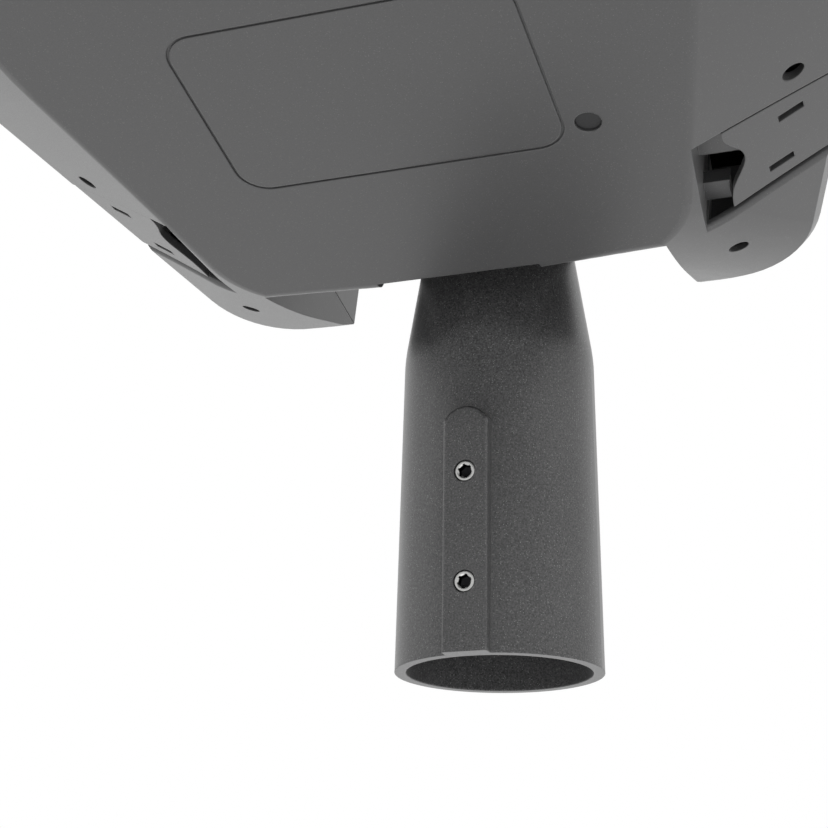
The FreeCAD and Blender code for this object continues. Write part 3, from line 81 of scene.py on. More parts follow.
class Shader:
    """Small helper round a material's node tree."""

    def __init__(self, name: str) -> None:
        """Start an empty material with a principled shader.

        Args:
            name: Name of the material.
        """
        self.material = bpy.data.materials.new(name)
        self.material.use_nodes = True
        self.nodes = self.material.node_tree.nodes
        self.links = self.material.node_tree.links
        self.surface = self.nodes["Principled BSDF"]

    def add(self, kind: str, **settings: object) -> bpy.types.Node:
        """Add a node and set its properties.

        Args:
            kind: Node type name without its ShaderNode prefix.
            settings: Properties of the node.

        Returns:
            The new node.
        """
        node = self.nodes.new("ShaderNode" + kind)
        for key, value in settings.items():
            setattr(node, key, value)
        return node

    def set(self, **values: object) -> None:
        """Set plain values on the shader, with underscores for spaces in socket names.

        Args:
            values: Socket values by name.
        """
        for key, value in values.items():
            self.surface.inputs[key.replace("_", " ")].default_value = value

    def place(self, stretch: Triple = (1, 1, 1)) -> Socket:
        """Object coordinates, stretched along the axes.

        Args:
            stretch: Scale along each axis.

        Returns:
            The vector socket.
        """
        coordinates = self.add("TexCoord")
        mapping = self.add("Mapping")
        mapping.inputs["Scale"].default_value = stretch
        self.links.new(coordinates.outputs["Object"], mapping.inputs["Vector"])
        return mapping.outputs["Vector"]

    def noise(self, place: Socket, scale: float, detail: float = 2.0) -> Socket:
        """Noise texture.

        Args:
            place: Vector socket.
            scale: Grains per metre.
            detail: Octaves.

        Returns:
            The factor socket.
        """
        node = self.add("TexNoise")
        node.inputs["Scale"].default_value = scale
        node.inputs["Detail"].default_value = detail
        self.links.new(place, node.inputs["Vector"])
        return node.outputs["Fac"]

    def span(self, value: Socket, source: Pair, target: Pair) -> Socket:
        """Map a value from one range to another, clamped.

        Args:
            value: Value socket.
            source: Range that comes in.
            target: Range that goes out.

        Returns:
            The mapped value socket.
        """
        node = self.add("MapRange")
        for key, number in zip(("From Min", "From Max", "To Min", "To Max"), source + target):
            node.inputs[key].default_value = number
        self.links.new(value, node.inputs["Value"])
        return node.outputs["Result"]

    def maths(self, operation: str, first: Socket, second: Socket) -> Socket:
        """Arithmetic on two values.

        Args:
            operation: Name of the operation.
            first: First value socket.
            second: Second value socket.

        Returns:
            The result socket.
        """
        node = self.add("Math", operation=operation)
        self.links.new(first, node.inputs[0])
        self.links.new(second, node.inputs[1])
        return node.outputs["Value"]

    def blend(self, share: Socket, first: Colour | Socket, second: Colour) -> Socket:
        """Mix two colours.

        Args:
            share: Share of the second colour.
            first: Colour or colour socket at 0.
            second: Colour at 1.

        Returns:
            The colour socket.
        """
        node = self.add("Mix", data_type="RGBA")
        self.links.new(share, node.inputs["Factor"])
        for key, colour in (("A", first), ("B", second)):
            socket = next(item for item in node.inputs if item.name == key and item.type == "RGBA")
            if isinstance(colour, Socket):
                self.links.new(colour, socket)
            else:
                socket.default_value = (*colour, 1)
        return next(item for item in node.outputs if item.type == "RGBA")

    def mix(self, share: Socket, first: bpy.types.Node, second: bpy.types.Node) -> bpy.types.Node:
        """Mix two shaders.

        Args:
            share: Share of the second shader.
            first: Node of the shader at 0.
            second: Node of the shader at 1.

        Returns:
            The mixing node.
        """
        node = self.add("MixShader")
        self.links.new(share, node.inputs["Fac"])
        self.links.new(first.outputs[0], node.inputs[1])
        self.links.new(second.outputs[0], node.inputs[2])
        return node

    def relief(self, height: Socket, depth: float, strength: float, rounding: float = 0.0) -> None:
        """Bump of the surface, over edges that look rounded.

        Args:
            height: Height socket.
            depth: Depth of the relief in millimetres.
            strength: Share of the relief that shows.
            rounding: Radius of the rounded edges in millimetres.
        """
        bump = self.add("Bump")
        bump.inputs["Strength"].default_value = strength
        bump.inputs["Distance"].default_value = depth * MM
        self.links.new(height, bump.inputs["Height"])
        if rounding > 0:
            bevel = self.add("Bevel", samples=EDGE_SAMPLES)
            bevel.inputs["Radius"].default_value = rounding * MM
            self.links.new(bevel.outputs["Normal"], bump.inputs["Normal"])
        self.links.new(bump.outputs["Normal"], self.surface.inputs["Normal"])

    def drive(self, socket: str, value: Socket) -> None:
        """Link a value or colour to a socket of the shader, given by its name."""
        self.links.new(value, self.surface.inputs[socket])


@dataclass(frozen=True)
class PowderCoat:
    """Powder coat with a fine grain, faint clouds and a few light specks."""

    name: str
    dark: Colour
    light: Colour
    speck: Colour
    grain: float = 2300.0
    specks: float = 2200.0
    rarity: float = 0.82
    speck_edge: Pair = (0.18, 0.42)
    clouds: float = 30.0
    cloud_tone: Pair = (-0.03, 0.03)
    roughness: Pair = (0.29, 0.39)
    refraction: float = 1.6
    sheen: float = 0.2
    sheen_roughness: float = 0.3
    depth: float = 0.06
    strength: float = 0.35
    rounding: float = 0.7

    def make(self) -> bpy.types.Material:
        """Build the material.

        Returns:
            The finished material.
        """
        shader = Shader(self.name)
        shader.set(IOR=self.refraction, Sheen_Weight=self.sheen, Sheen_Roughness=self.sheen_roughness)
        place = shader.place()
        grain = shader.noise(place, self.grain)
        clouds = shader.span(shader.noise(place, self.clouds), NOISE_RANGE, self.cloud_tone)
        cells = shader.add("TexVoronoi")
        cells.inputs["Scale"].default_value = self.specks
        shader.links.new(place, cells.inputs["Vector"])
        split = shader.add("SeparateColor")
        shader.links.new(cells.outputs["Color"], split.inputs["Color"])
        chosen = shader.span(split.outputs["Red"], (self.rarity, 1.0), SHARE_RANGE)
        spot = shader.span(cells.outputs["Distance"], self.speck_edge, (1.0, 0.0))
        tone = shader.span(shader.maths("ADD", grain, clouds), NOISE_RANGE, SHARE_RANGE)
        base = shader.blend(tone, self.dark, self.light)
        speckled = shader.blend(shader.maths("MULTIPLY", chosen, spot), base, self.speck)
        shader.drive("Base Color", speckled)
        shader.drive("Roughness", shader.span(grain, NOISE_RANGE, self.roughness))
        shader.relief(grain, self.depth, self.strength, self.rounding)
        return shader.material


@dataclass(frozen=True)
class Metal:
    """Bare metal with fine turning or brushing marks and duller stains."""

    name: str
    colour: Colour
    roughness: Pair
    stretch: Triple = (1, 1, 12)
    marks: float = 900.0
    mark_detail: float = 3.0
    stains: float = 120.0
    stain_edge: Pair = (0.4, 0.7)
    stain_tone: float = 0.8
    depth: float = 0.02
    strength: float = 0.3
    rounding: float = 0.15

    def make(self) -> bpy.types.Material:
        """Build the material.

        Returns:
            The finished material.
        """
        shader = Shader(self.name)
        shader.set(Metallic=1.0)
        marks = shader.noise(shader.place(self.stretch), self.marks, self.mark_detail)
        stain = shader.span(shader.noise(shader.place(), self.stains), self.stain_edge, SHARE_RANGE)
        dull = tuple(part * self.stain_tone for part in self.colour)
        shader.drive("Base Color", shader.blend(stain, self.colour, dull))
        shader.drive("Roughness", shader.span(marks, NOISE_RANGE, self.roughness))
        shader.relief(marks, self.depth, self.strength, self.rounding)
        return shader.material


@dataclass(frozen=True)
class Moulding:
    """Moulded plastic or rubber with a faint mould grain."""

    name: str
    colour: Colour
    roughness: Pair
    grain: float = 1400.0
    depth: float = 0.03
    rounding: float = 0.4
    clouds: float = 60.0
    cloud_tone: float = 0.9
    strength: float = 0.3

    def make(self) -> bpy.types.Material:
        """Build the material.

        Returns:
            The finished material.
        """
        shader = Shader(self.name)
        place = shader.place()
        grain = shader.noise(place, self.grain)
        clouds = shader.span(shader.noise(place, self.clouds), NOISE_RANGE, SHARE_RANGE)
        shade = tuple(part * self.cloud_tone for part in self.colour)
        shader.drive("Base Color", shader.blend(clouds, self.colour, shade))
        shader.drive("Roughness", shader.span(grain, NOISE_RANGE, self.roughness))
        shader.relief(grain, self.depth, self.strength, self.rounding)
        return shader.material


@dataclass(frozen=True)
class ClearOptic:
    """Clear moulded lens plastic with a faint haze."""

    name: str = "clear_lens"
    colour: Colour = (0.96, 0.975, 0.98)
    refraction: float = 1.49
    haze: float = 260.0
    roughness: Pair = (0.02, 0.06)

    def make(self) -> bpy.types.Material:
        """Build the material.

        Returns:
            The finished material.
        """
        shader = Shader(self.name)
        shader.set(Base_Color=(*self.colour, 1), Transmission_Weight=1.0, IOR=self.refraction)
        haze = shader.noise(shader.place(), self.haze)
        shader.drive("Roughness", shader.span(haze, NOISE_RANGE, self.roughness))
        return shader.material


@dataclass(frozen=True)
class SolderMask:
    """White solder mask over copper tracks."""

    name: str = "white_solder_mask"
    colour: Colour = (0.80, 0.81, 0.80)
    track: Colour = (0.72, 0.72, 0.69)
    pitch: float = 46.0
    track_width: float = 0.018
    track_edge: float = 0.2
    grain: float = 900.0
    roughness: Pair = (0.3, 0.4)
    depth: float = 0.05
    strength: float = 0.4

    def make(self) -> bpy.types.Material:
        """Build the material.

        Returns:
            The finished material.
        """
        shader = Shader(self.name)
        tracks = shader.add("TexBrick")
        sizes = {"Scale": self.pitch, "Mortar Size": self.track_width, "Mortar Smooth": self.track_edge}
        for key, value in sizes.items():
            tracks.inputs[key].default_value = value
        shader.links.new(shader.place(), tracks.inputs["Vector"])
        shader.drive("Base Color", shader.blend(tracks.outputs["Fac"], self.colour, self.track))
        grain = shader.noise(shader.place(), self.grain)
        shader.drive("Roughness", shader.span(grain, NOISE_RANGE, self.roughness))
        shader.relief(tracks.outputs["Fac"], self.depth, self.strength)
        return shader.material


class Finish(Enum):
    """Finishes of the street light's pieces."""

    COAT = PowderCoat("anthracite_coat", (0.072, 0.072, 0.073), (0.086, 0.086, 0.087), (0.17, 0.17, 0.17),
                      sheen=0.14)
    GRAINY_COAT = PowderCoat("anthracite_grainy_coat", (0.020, 0.020, 0.021), (0.106, 0.106, 0.107),
                             (0.40, 0.40, 0.40), grain=1750.0, specks=2400.0, rarity=0.74, depth=0.12)
    STEEL = Metal("stainless_steel", (0.50, 0.50, 0.49), (0.24, 0.38))
    # Near-black steel that paints the shade inside the set screws' sockets.
    SOCKET_PAINTED_SHADE = Metal("socket_painted_shade", (0.015, 0.015, 0.016), (0.3, 0.45))
    BRASS = Metal("earth_brass", (0.72, 0.53, 0.22), (0.25, 0.4))
    SILICONE = Moulding("grey_silicone", (0.36, 0.36, 0.35), (0.55, 0.7))
    CASE = Moulding("driver_case", (0.62, 0.63, 0.64), (0.38, 0.5))
    NYLON = Moulding("light_nylon", (0.68, 0.68, 0.65), (0.45, 0.6))
    BLACK = Moulding("black_nylon", (0.018, 0.018, 0.019), (0.45, 0.6))
    PHOSPHOR = Moulding("yellow_phosphor", (0.88, 0.62, 0.06), (0.35, 0.5), 2200.0, 0.01, 0.1)
    LENS = ClearOptic()
    MASK = SolderMask()


class Paintbox:
    """Makes each finish once and hands it out."""

    def __init__(self) -> None:
        """Start with no finished material."""
        self.made: dict[Finish, bpy.types.Material] = {}

    def get(self, finish: Finish) -> bpy.types.Material:
        """Material of a finish.

        Args:
            finish: The finish.

        Returns:
            Its material, made at the first call.
        """
        if finish not in self.made:
            self.made[finish] = finish.value.make()
        return self.made[finish]

    def dress(self, node: str, finish: Finish) -> None:
        """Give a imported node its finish.

        Args:
            node: Name of the node.
            finish: The finish.
        """
        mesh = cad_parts[node].data
        mesh.materials.clear()
        mesh.materials.append(self.get(finish))
        LOG.info("node %s has finish %s", node, finish.name.lower())


PAINT = Paintbox()


def put(name: str, data: bpy.types.ID) -> bpy.types.Object:
    """Put a mesh, lamp or camera in the scene.

    Args:
        name: Name of the object.
        data: What the object shows.

    Returns:
        The new object, at the origin.
    """
    item = bpy.data.objects.new(name, data)
    bpy.context.scene.collection.objects.link(item)
    return item


class Shape:
    """Meshes made from rings of points about the Z axis, and rounded blocks. Sizes are in millimetres."""

    @staticmethod
    def angles() -> list[float]:
        """Angles of a ring's points."""
        return [2 * math.pi * step / ROUND_STEPS for step in range(ROUND_STEPS)]

    @staticmethod
    def point(radius: float, angle: float, height: float) -> Vector:
        """Point at a radius, angle and level, in metres."""
        return Vector((radius * math.cos(angle), radius * math.sin(angle), height)) * MM

    @staticmethod
    def ring(radius: float, height: float) -> Loop:
        """Circle at a level."""
        return [Shape.point(radius, angle, height) for angle in Shape.angles()]

    @staticmethod
    def rings(profile: Profile) -> list[Loop]:
        """Circles at each radius and level of a turned profile."""
        return [Shape.ring(radius, height) for radius, height in profile]

    @staticmethod
    def hexagon(flats: float, height: float, crown: float = 0.0) -> Loop:
        """Hexagon with as many points as a circle.

        Args:
            flats: Size across flats.
            height: Level.
            crown: Fall of the corners per millimetre beyond the flats, for a chamfered end.

        Returns:
            Points of the hexagon.
        """
        half, sector = flats / 2, math.pi / 3
        points = []
        for angle in Shape.angles():
            radius = half / math.cos(angle % sector - sector / 2)
            points.append(Shape.point(radius, angle, height - crown * (radius - half)))
        return points

    @staticmethod
    def lobes(radius: float, depth: float, count: int, height: float) -> Loop:
        """Circle with rounded lobes, such as a six-lobe socket or a gripped cap.

        Args:
            radius: Mean radius.
            depth: Half height of the lobes.
            count: Number of lobes.
            height: Level.

        Returns:
            Points of the outline.
        """
        points = []
        for angle in Shape.angles():
            points.append(Shape.point(radius + depth * math.cos(count * angle), angle, height))
        return points

    @staticmethod
    def skin(name: str, loops: list[Loop], finish: Finish, closed: bool = False,
             painted_shade_bands: int = 0) -> bpy.types.Object:
        """Mesh skinned over rings, capped at both ends unless the rings close on themselves.

        Args:
            name: Name of the piece.
            loops: Rings with the same number of points.
            finish: Finish of the piece.
            closed: Whether the last ring joins the first.
            painted_shade_bands: Number of bands from the first ring on that get near-black steel as painted
                shade, such as a socket's walls.

        Returns:
            The new object, not yet riding on a body.
        """
        work = bmesh.new()
        rows = [[work.verts.new(point) for point in loop] for loop in loops]
        pairs = list(zip(rows, rows[1:]))
        if closed:
            pairs.append((rows[-1], rows[0]))
        for band, (low, high) in enumerate(pairs):
            for index in range(len(low)):
                following = (index + 1) % len(low)
                face = work.faces.new((low[index], low[following], high[following], high[index]))
                face.material_index = int(band < painted_shade_bands)
        if not closed:
            work.faces.new(rows[0]).material_index = int(painted_shade_bands > 0)
            work.faces.new(rows[-1])
        bmesh.ops.recalc_face_normals(work, faces=work.faces)
        piece = Shape.keep(name, work, finish)
        if painted_shade_bands:
            # The near-black steel on these bands is painted shade for a dark recess, not a finish of the
            # part.
            piece.data.materials.append(PAINT.get(Finish.SOCKET_PAINTED_SHADE))
        return piece

    @staticmethod
    def block(name: str, size: Vector, place: Vector, rounding: float, finish: Finish) -> bpy.types.Object:
        """Box with rounded edges.

        Args:
            name: Name of the piece.
            size: Width, length and height.
            place: Middle of the box.
            rounding: Edge radius.
            finish: Finish of the piece.

        Returns:
            The new object.
        """
        work = bmesh.new()
        bmesh.ops.create_cube(work, size=1.0)
        bmesh.ops.scale(work, vec=size * MM, verts=work.verts)
        bmesh.ops.bevel(work, geom=work.edges, offset=rounding * MM, segments=EDGE_STEPS, profile=0.5,
                        affect="EDGES")
        bmesh.ops.translate(work, vec=place * MM, verts=work.verts)
        return Shape.keep(name, work, finish)

    @staticmethod
    def keep(name: str, work: bmesh.types.BMesh, finish: Finish) -> bpy.types.Object:
        """Turn a finished mesh under work into an object.

        Args:
            name: Name of the piece.
            work: Mesh under work, freed here.
            finish: Finish of the piece.

        Returns:
            The new object.
        """
        mesh = bpy.data.meshes.new(name)
        work.to_mesh(mesh)
        work.free()
        mesh.shade_smooth()
        mesh.set_sharp_from_angle(angle=SHARP_EDGE)
        mesh.materials.append(PAINT.get(finish))
        return put(name, mesh)

    @staticmethod
    def join(name: str, parts: list[bpy.types.Object]) -> bpy.types.Object:
        """Join pieces into one mesh that keeps their finishes.

        Args:
            name: Name of the joined piece.
            parts: Pieces to join, removed here.

        Returns:
            The joined object.
        """
        work = bmesh.new()
        materials: list[bpy.types.Material] = []
        for part in parts:
            first = len(work.faces)
            work.from_mesh(part.data)
            work.faces.ensure_lookup_table()
            slots = []
            for material in part.data.materials:
                if material not in materials:
                    materials.append(material)
                slots.append(materials.index(material))
            for face in work.faces[first:]:
                face.material_index = slots[face.material_index]
        mesh = bpy.data.meshes.new(name)
        work.to_mesh(mesh)
        work.free()
        for material in materials:
            mesh.materials.append(material)
        mesh.set_sharp_from_angle(angle=SHARP_EDGE)
        for part in parts:
            Shape.discard(part)
        return put(name, mesh)

    @staticmethod
    def discard(piece: bpy.types.Object) -> None:
        """Remove an object and its mesh.

        Args:
            piece: The object.
        """
        mesh = piece.data
        bpy.data.objects.remove(piece)
        bpy.data.meshes.remove(mesh)


class PieceArray:
    """Geometry Nodes tree that sets one small piece on every point of a mesh."""

    def __init__(self) -> None:
        """Build the tree with its named inputs."""
        self.tree = bpy.data.node_groups.new("piece_on_points", "GeometryNodeTree")
        face = self.tree.interface
        face.new_socket("Points", in_out="INPUT", socket_type="NodeSocketGeometry")
        self.piece = face.new_socket("Piece", in_out="INPUT", socket_type="NodeSocketObject").identifier
        self.size = face.new_socket("Size", in_out="INPUT", socket_type="NodeSocketFloat").identifier
        self.finish = face.new_socket("Finish", in_out="INPUT", socket_type="NodeSocketMaterial").identifier
        face.new_socket("Pieces", in_out="OUTPUT", socket_type="NodeSocketGeometry")
        nodes = self.tree.nodes
        start = nodes.new("NodeGroupInput")
        end = nodes.new("NodeGroupOutput")
        info = nodes.new("GeometryNodeObjectInfo")
        repeat = nodes.new("GeometryNodeInstanceOnPoints")
        real = nodes.new("GeometryNodeRealizeInstances")
        paint = nodes.new("GeometryNodeSetMaterial")
        join = self.tree.links.new
        join(start.outputs["Points"], repeat.inputs["Points"])
        join(start.outputs["Piece"], info.inputs["Object"])
        join(info.outputs["Geometry"], repeat.inputs["Instance"])
        join(start.outputs["Size"], repeat.inputs["Scale"])
        join(repeat.outputs["Instances"], real.inputs["Geometry"])
        join(real.outputs["Geometry"], paint.inputs["Geometry"])
        join(start.outputs["Finish"], paint.inputs["Material"])
        join(paint.outputs["Geometry"], end.inputs["Pieces"])

    def spread(self, name: str, piece: bpy.types.Object, places: list[Vector],
               finish: Finish) -> bpy.types.Object:
        """Set a piece on each place in the head and make the result one plain mesh.

        Args:
            name: Name of the resulting piece.
            piece: Piece to repeat, removed here.
            places: Places in the head's frame, in millimetres.
            finish: Finish of the pieces.

        Returns:
            The resulting object.
        """
        points = bpy.data.meshes.new(name + "_places")
        points.from_pydata([place * MM for place in places], [], [])
        carrier = put(name + "_places", points)
        modifier = carrier.modifiers.new("array", "NODES")
        modifier.node_group = self.tree
        modifier[self.piece] = piece
        modifier[self.size] = 1.0
        modifier[self.finish] = PAINT.get(finish)
        bpy.context.view_layer.update()
        graph = bpy.context.evaluated_depsgraph_get()
        mesh = bpy.data.meshes.new_from_object(carrier.evaluated_get(graph))
        mesh.name = name
        carrier.modifiers.remove(modifier)
        Shape.discard(carrier)
        Shape.discard(piece)
        mesh.transform(HEAD)
        mesh.set_sharp_from_angle(angle=SHARP_EDGE)
        return put(name, mesh)


ARRAY = PieceArray()


def mount(piece: bpy.types.Object, body: Body, replaced: tuple[str, ...] = ()) -> None:
    """Let a piece ride on a body, and hide the nodes that it stands for.

    Args:
        piece: The piece, in place.
        body: Body that carries it.
        replaced: Nodes that it stands for.
    """
    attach(piece, body.value)
    if replaced:
        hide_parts(*replaced)
    LOG.info("piece %s rides on %s with %d faces", piece.name, body.value, len(piece.data.polygons))


def fit(piece: bpy.types.Object, place: Matrix, node: str) -> None:
    """Set a piece in the head, where it stands for a plain node.

    Args:
        piece: The piece, as it was made.
        place: Place in the head's frame.
        node: Node that it stands for.
    """
    piece.data.transform(HEAD @ place)
    mount(piece, Body.HEAD, (node,))


@dataclass(frozen=True)
class Screw:
    """Small steel screw of turned rings, with a lobed recess for its driver. Sizes are in millimetres."""

    name: str
    profile: Profile
    recess: Profile
    lobe: float = 0.2
    count: int = 6

    def set_out(self, name: str, places: list[Vector], replaced: tuple[str, ...] = ()) -> None:
        """Set a screw on each place in the head.

        Args:
            name: Name of the resulting piece.
            places: Places in the head's frame.
            replaced: Nodes that the screws stand for.
        """
        loops = Shape.rings(self.profile)
        for radius, level in self.recess:
            loops.append(Shape.lobes(radius, self.lobe, self.count, level))
        screw = Shape.skin(self.name, loops, Finish.STEEL)
        mount(ARRAY.spread(name, screw, places, Finish.STEEL), Body.HEAD, replaced)


@dataclass
class SetScrews:
    """Two hexagon socket set screws in the spigot's pad."""

    diameter: float = 7.2
    length: float = 6.6
    socket: float = 4.0
    socket_depth: float = 3.0
    socket_cone: float = 0.3
    mouth_depth: float = 0.45
    mouth: Profile = ((2.44, -0.05), (2.64, 0.0))
    end_edge: Profile = ((0.55, 0.0), (0.3, 0.12), (0.06, 0.5))
    thread: float = 1.0
    thread_start: float = 0.8
    crest: float = 0.05
    root: float = 0.5
    cup_edge: float = 0.8
    cup_floor: float = 1.6
    cup_depth: float = 0.6
    face: float = 37.95
    low: float = 22.5
    pitch: float = 36.5
    lower_twist: float = 17.0
    upper_twist: float = 41.0

    def loops(self) -> list[Loop]:
        """Rings from the socket's floor over the rim to the cup point.

        Returns:
            The rings, with the screw's outer end at level 0 and its tip below.
        """
        radius, floor = self.diameter / 2, -self.socket_depth
        rings = [Shape.hexagon(self.socket / 2, floor - self.socket_cone), Shape.hexagon(self.socket, floor)]
        rings.append(Shape.hexagon(self.socket, -self.mouth_depth))
        rings += Shape.rings(self.mouth)
        rings += [Shape.ring(radius - inset, -drop) for inset, drop in self.end_edge]
        turns = int((self.length - self.thread_start - self.cup_depth) / self.thread)
        for turn in range(turns):
            level = -self.thread_start - turn * self.thread
            rings.append(Shape.ring(radius - self.crest, level))
            rings.append(Shape.ring(radius - self.root, level - self.thread / 2))
        rings.append(Shape.ring(radius - self.cup_edge, -self.length))
        rings.append(Shape.ring(radius - self.cup_floor, -self.length + self.cup_depth))
        return rings

    def build(self) -> None:
        """Make both screws in place of their plain nodes."""
        outwards = Matrix.Rotation(QUARTER_TURN, 4, "X")
        screws = (
            (Body.SCREW_LOWER, self.low, self.lower_twist),
            (Body.SCREW_UPPER, self.low + self.pitch, self.upper_twist),
        )
        for body, level, twist in screws:
            # The socket's first two bands take near-black steel as painted shade.
            screw = Shape.skin(body.value + "_detail", self.loops(), Finish.STEEL, painted_shade_bands=2)
            place = Matrix.Translation(Vector((0, -self.face, level)) * MM)
            screw.data.transform(place @ outwards @ Matrix.Rotation(math.radians(twist), 4, "Z"))
            mount(screw, body, (body.value,))


@dataclass
class TiltJoint:
    """Spigot casting with the bolts and washers of its tilt joint."""

    bolt: float = 10.0
    bolt_tip: float = 15.5
    tip_chamfer: float = 0.8
    bolt_seat: float = 45.1
    head_flats: float = 17.0
    head_height: float = 6.4
    collar_inset: float = 0.3
    collar_height: float = 0.4
    crown_drop: float = 0.3
    crown_inset: float = 0.6
    corner_fall: float = 0.58
    dish_edge: float = 2.4
    dish_floor: float = 3.0
    dish_depth: float = 0.35
    washer: float = 21.0
    washer_face: float = 43.1
    washer_thickness: float = 2.0
    washer_edge: float = 0.35
    washer_gap: float = 0.05

    def bolt_loops(self) -> list[Loop]:
        """Rings of a bolt from its tip to its chamfered head.

        Returns:
            The rings along +Z.
        """
        shank, half = self.bolt / 2, self.head_flats / 2
        seat, top = self.bolt_seat, self.bolt_seat + self.head_height
        collar = seat + self.collar_height
        return [
            Shape.ring(shank - self.tip_chamfer, self.bolt_tip),
            Shape.ring(shank, self.bolt_tip + self.tip_chamfer),
            Shape.ring(shank, seat),
            Shape.ring(half - self.collar_inset, seat),
            Shape.ring(half - self.collar_inset, collar),
            Shape.hexagon(self.head_flats, collar),
            Shape.hexagon(self.head_flats, top - self.crown_drop, self.corner_fall),
            Shape.ring(half - self.crown_inset, top),
            Shape.ring(half - self.dish_edge, top),
            Shape.ring(half - self.dish_floor, top - self.dish_depth),
        ]

    def washer_loops(self) -> list[Loop]:
        """Closed rings of a washer.

        Returns:
            The rings round its section.
        """
        inner, outer = self.bolt / 2 + self.washer_gap, self.washer / 2
        low, high = self.washer_face, self.washer_face + self.washer_thickness
        edge = self.washer_edge
        section = (
            (inner, low), (outer - edge, low), (outer, low + edge),
            (outer, high - edge), (outer - edge, high), (inner, high),
        )
        return Shape.rings(section)

    def build(self) -> None:
        """Dress the spigot and make its bolts and washers."""
        PAINT.dress("spigot", Finish.GRAINY_COAT)
        lift = Matrix.Translation((0, 0, TILT_PIVOT * MM))
        for name, loops, closed in (("pivot_bolts", self.bolt_loops(), False),
                                    ("pivot_washers", self.washer_loops(), True)):
            sides = []
            for side in (-1, 1):
                part = Shape.skin("%s_%d" % (name, side), loops, Finish.STEEL, closed)
                part.data.transform(lift @ Matrix.Rotation(QUARTER_TURN * side, 4, "Y"))
                sides.append(part)
            mount(Shape.join(name + "_detail", sides), Body.SPIGOT, (name,))


@dataclass
class Castings:
    """Lower housing, gear lid and latches with their pins and seal."""

    coated: tuple[str, ...] = ("lower_housing", "gear_lid", "latch_left", "latch_right")
    pins: tuple[str, ...] = ("lid_hinge_pins", "latch_pin_left", "latch_pin_right")

    def build(self) -> None:
        """Dress the castings, pins and the lid's seal."""
        for node in self.coated:
            PAINT.dress(node, Finish.COAT)
        for node in self.pins:
            PAINT.dress(node, Finish.STEEL)
        PAINT.dress("lid_gasket", Finish.SILICONE)


@dataclass
class Optic:
    """LED boards, chips, lens plates, gaskets and screws under the head."""

    deck: float = -36.0
    board: float = 1.6
    lens_width: float = 178.0
    rear: float = 204.0
    front: float = 492.5
    gap: float = 1.5
    frame_width: float = 6.0
    columns: int = 6
    rows: int = 4
    chip: float = 5.0
    chip_height: float = 0.9
    carrier_height: float = 0.495
    carrier_edge: float = 0.12
    dome: float = 3.7
    dome_height: float = 0.45
    dome_edge: float = 0.2
    lens_base: float = -42.0
    screw: Screw = Screw(
        "pan_head",
        ((1.9, 8.6), (2.0, 8.2), (2.0, 0.0), (3.5, 0.0), (3.5, -0.5), (3.15, -1.3), (2.5, -1.85),
         (2.0, -2.0)),
        recess=((1.5, -2.0), (1.4, -0.7)),
    )

    def lens_length(self) -> float:
        """Length of a lens plate in millimetres."""
        return (self.front - self.rear - 3 * self.gap) / 2

    def middles(self) -> list[float]:
        """Middle of each lens plate along the head."""
        first = -self.rear - self.gap - self.lens_length() / 2
        return [first, first - self.lens_length() - self.gap]

    def chip_places(self) -> list[Vector]:
        """Places of the LED chips on both boards.

        Returns:
            Places in the head's frame.
        """
        wide = self.lens_width - 2 * self.frame_width
        long = self.lens_length() - 2 * self.frame_width
        places = []
        for middle in self.middles():
            for column in range(self.columns):
                for row in range(self.rows):
                    x = ((column + 0.5) / self.columns - 0.5) * wide
                    y = middle + ((row + 0.5) / self.rows - 0.5) * long
                    places.append(Vector((x, y, self.deck - self.board)))
        return places

    def screw_places(self) -> list[Vector]:
        """Places of the lens screws.

        Returns:
            Places under the lens plates in the head's frame.
        """
        x = self.lens_width / 2 - self.frame_width / 2
        y = self.lens_length() / 2 - self.frame_width / 2
        places = []
        for middle in self.middles():
            for side in (-1, 1):
                for end in (-1, 0, 1):
                    places.append(Vector((side * x, middle + end * y, self.lens_base)))
        return places

    def chips(self) -> bpy.types.Object:
        """LED chips on both boards, each a carrier with a phosphor dome under it.

        Returns:
            The chips as one piece.
        """
        size = Vector((self.chip, self.chip, self.carrier_height))
        middle = Vector((0, 0, -size.z / 2))
        carrier = Shape.block("chip_carrier", size, middle, self.carrier_edge, Finish.NYLON)
        size = Vector((self.dome, self.dome, self.dome_height))
        middle = Vector((0, 0, -self.chip_height + size.z / 2))
        dome = Shape.block("chip_glow", size, middle, self.dome_edge, Finish.PHOSPHOR)
        carriers = ARRAY.spread("chip_carriers", carrier, self.chip_places(), Finish.NYLON)
        domes = ARRAY.spread("chip_glows", dome, self.chip_places(), Finish.PHOSPHOR)
        return Shape.join("led_chips_detail", [carriers, domes])

    def build(self) -> None:
        """Dress the optic and set out its chips and screws."""
        for end in ("rear", "front"):
            PAINT.dress("led_board_" + end, Finish.MASK)
            PAINT.dress("lens_gasket_" + end, Finish.SILICONE)
            PAINT.dress("lens_plate_" + end, Finish.LENS)
        mount(self.chips(), Body.HEAD, ("led_chips",))
        self.screw.set_out("lens_screws_detail", self.screw_places(), ("lens_screws",))


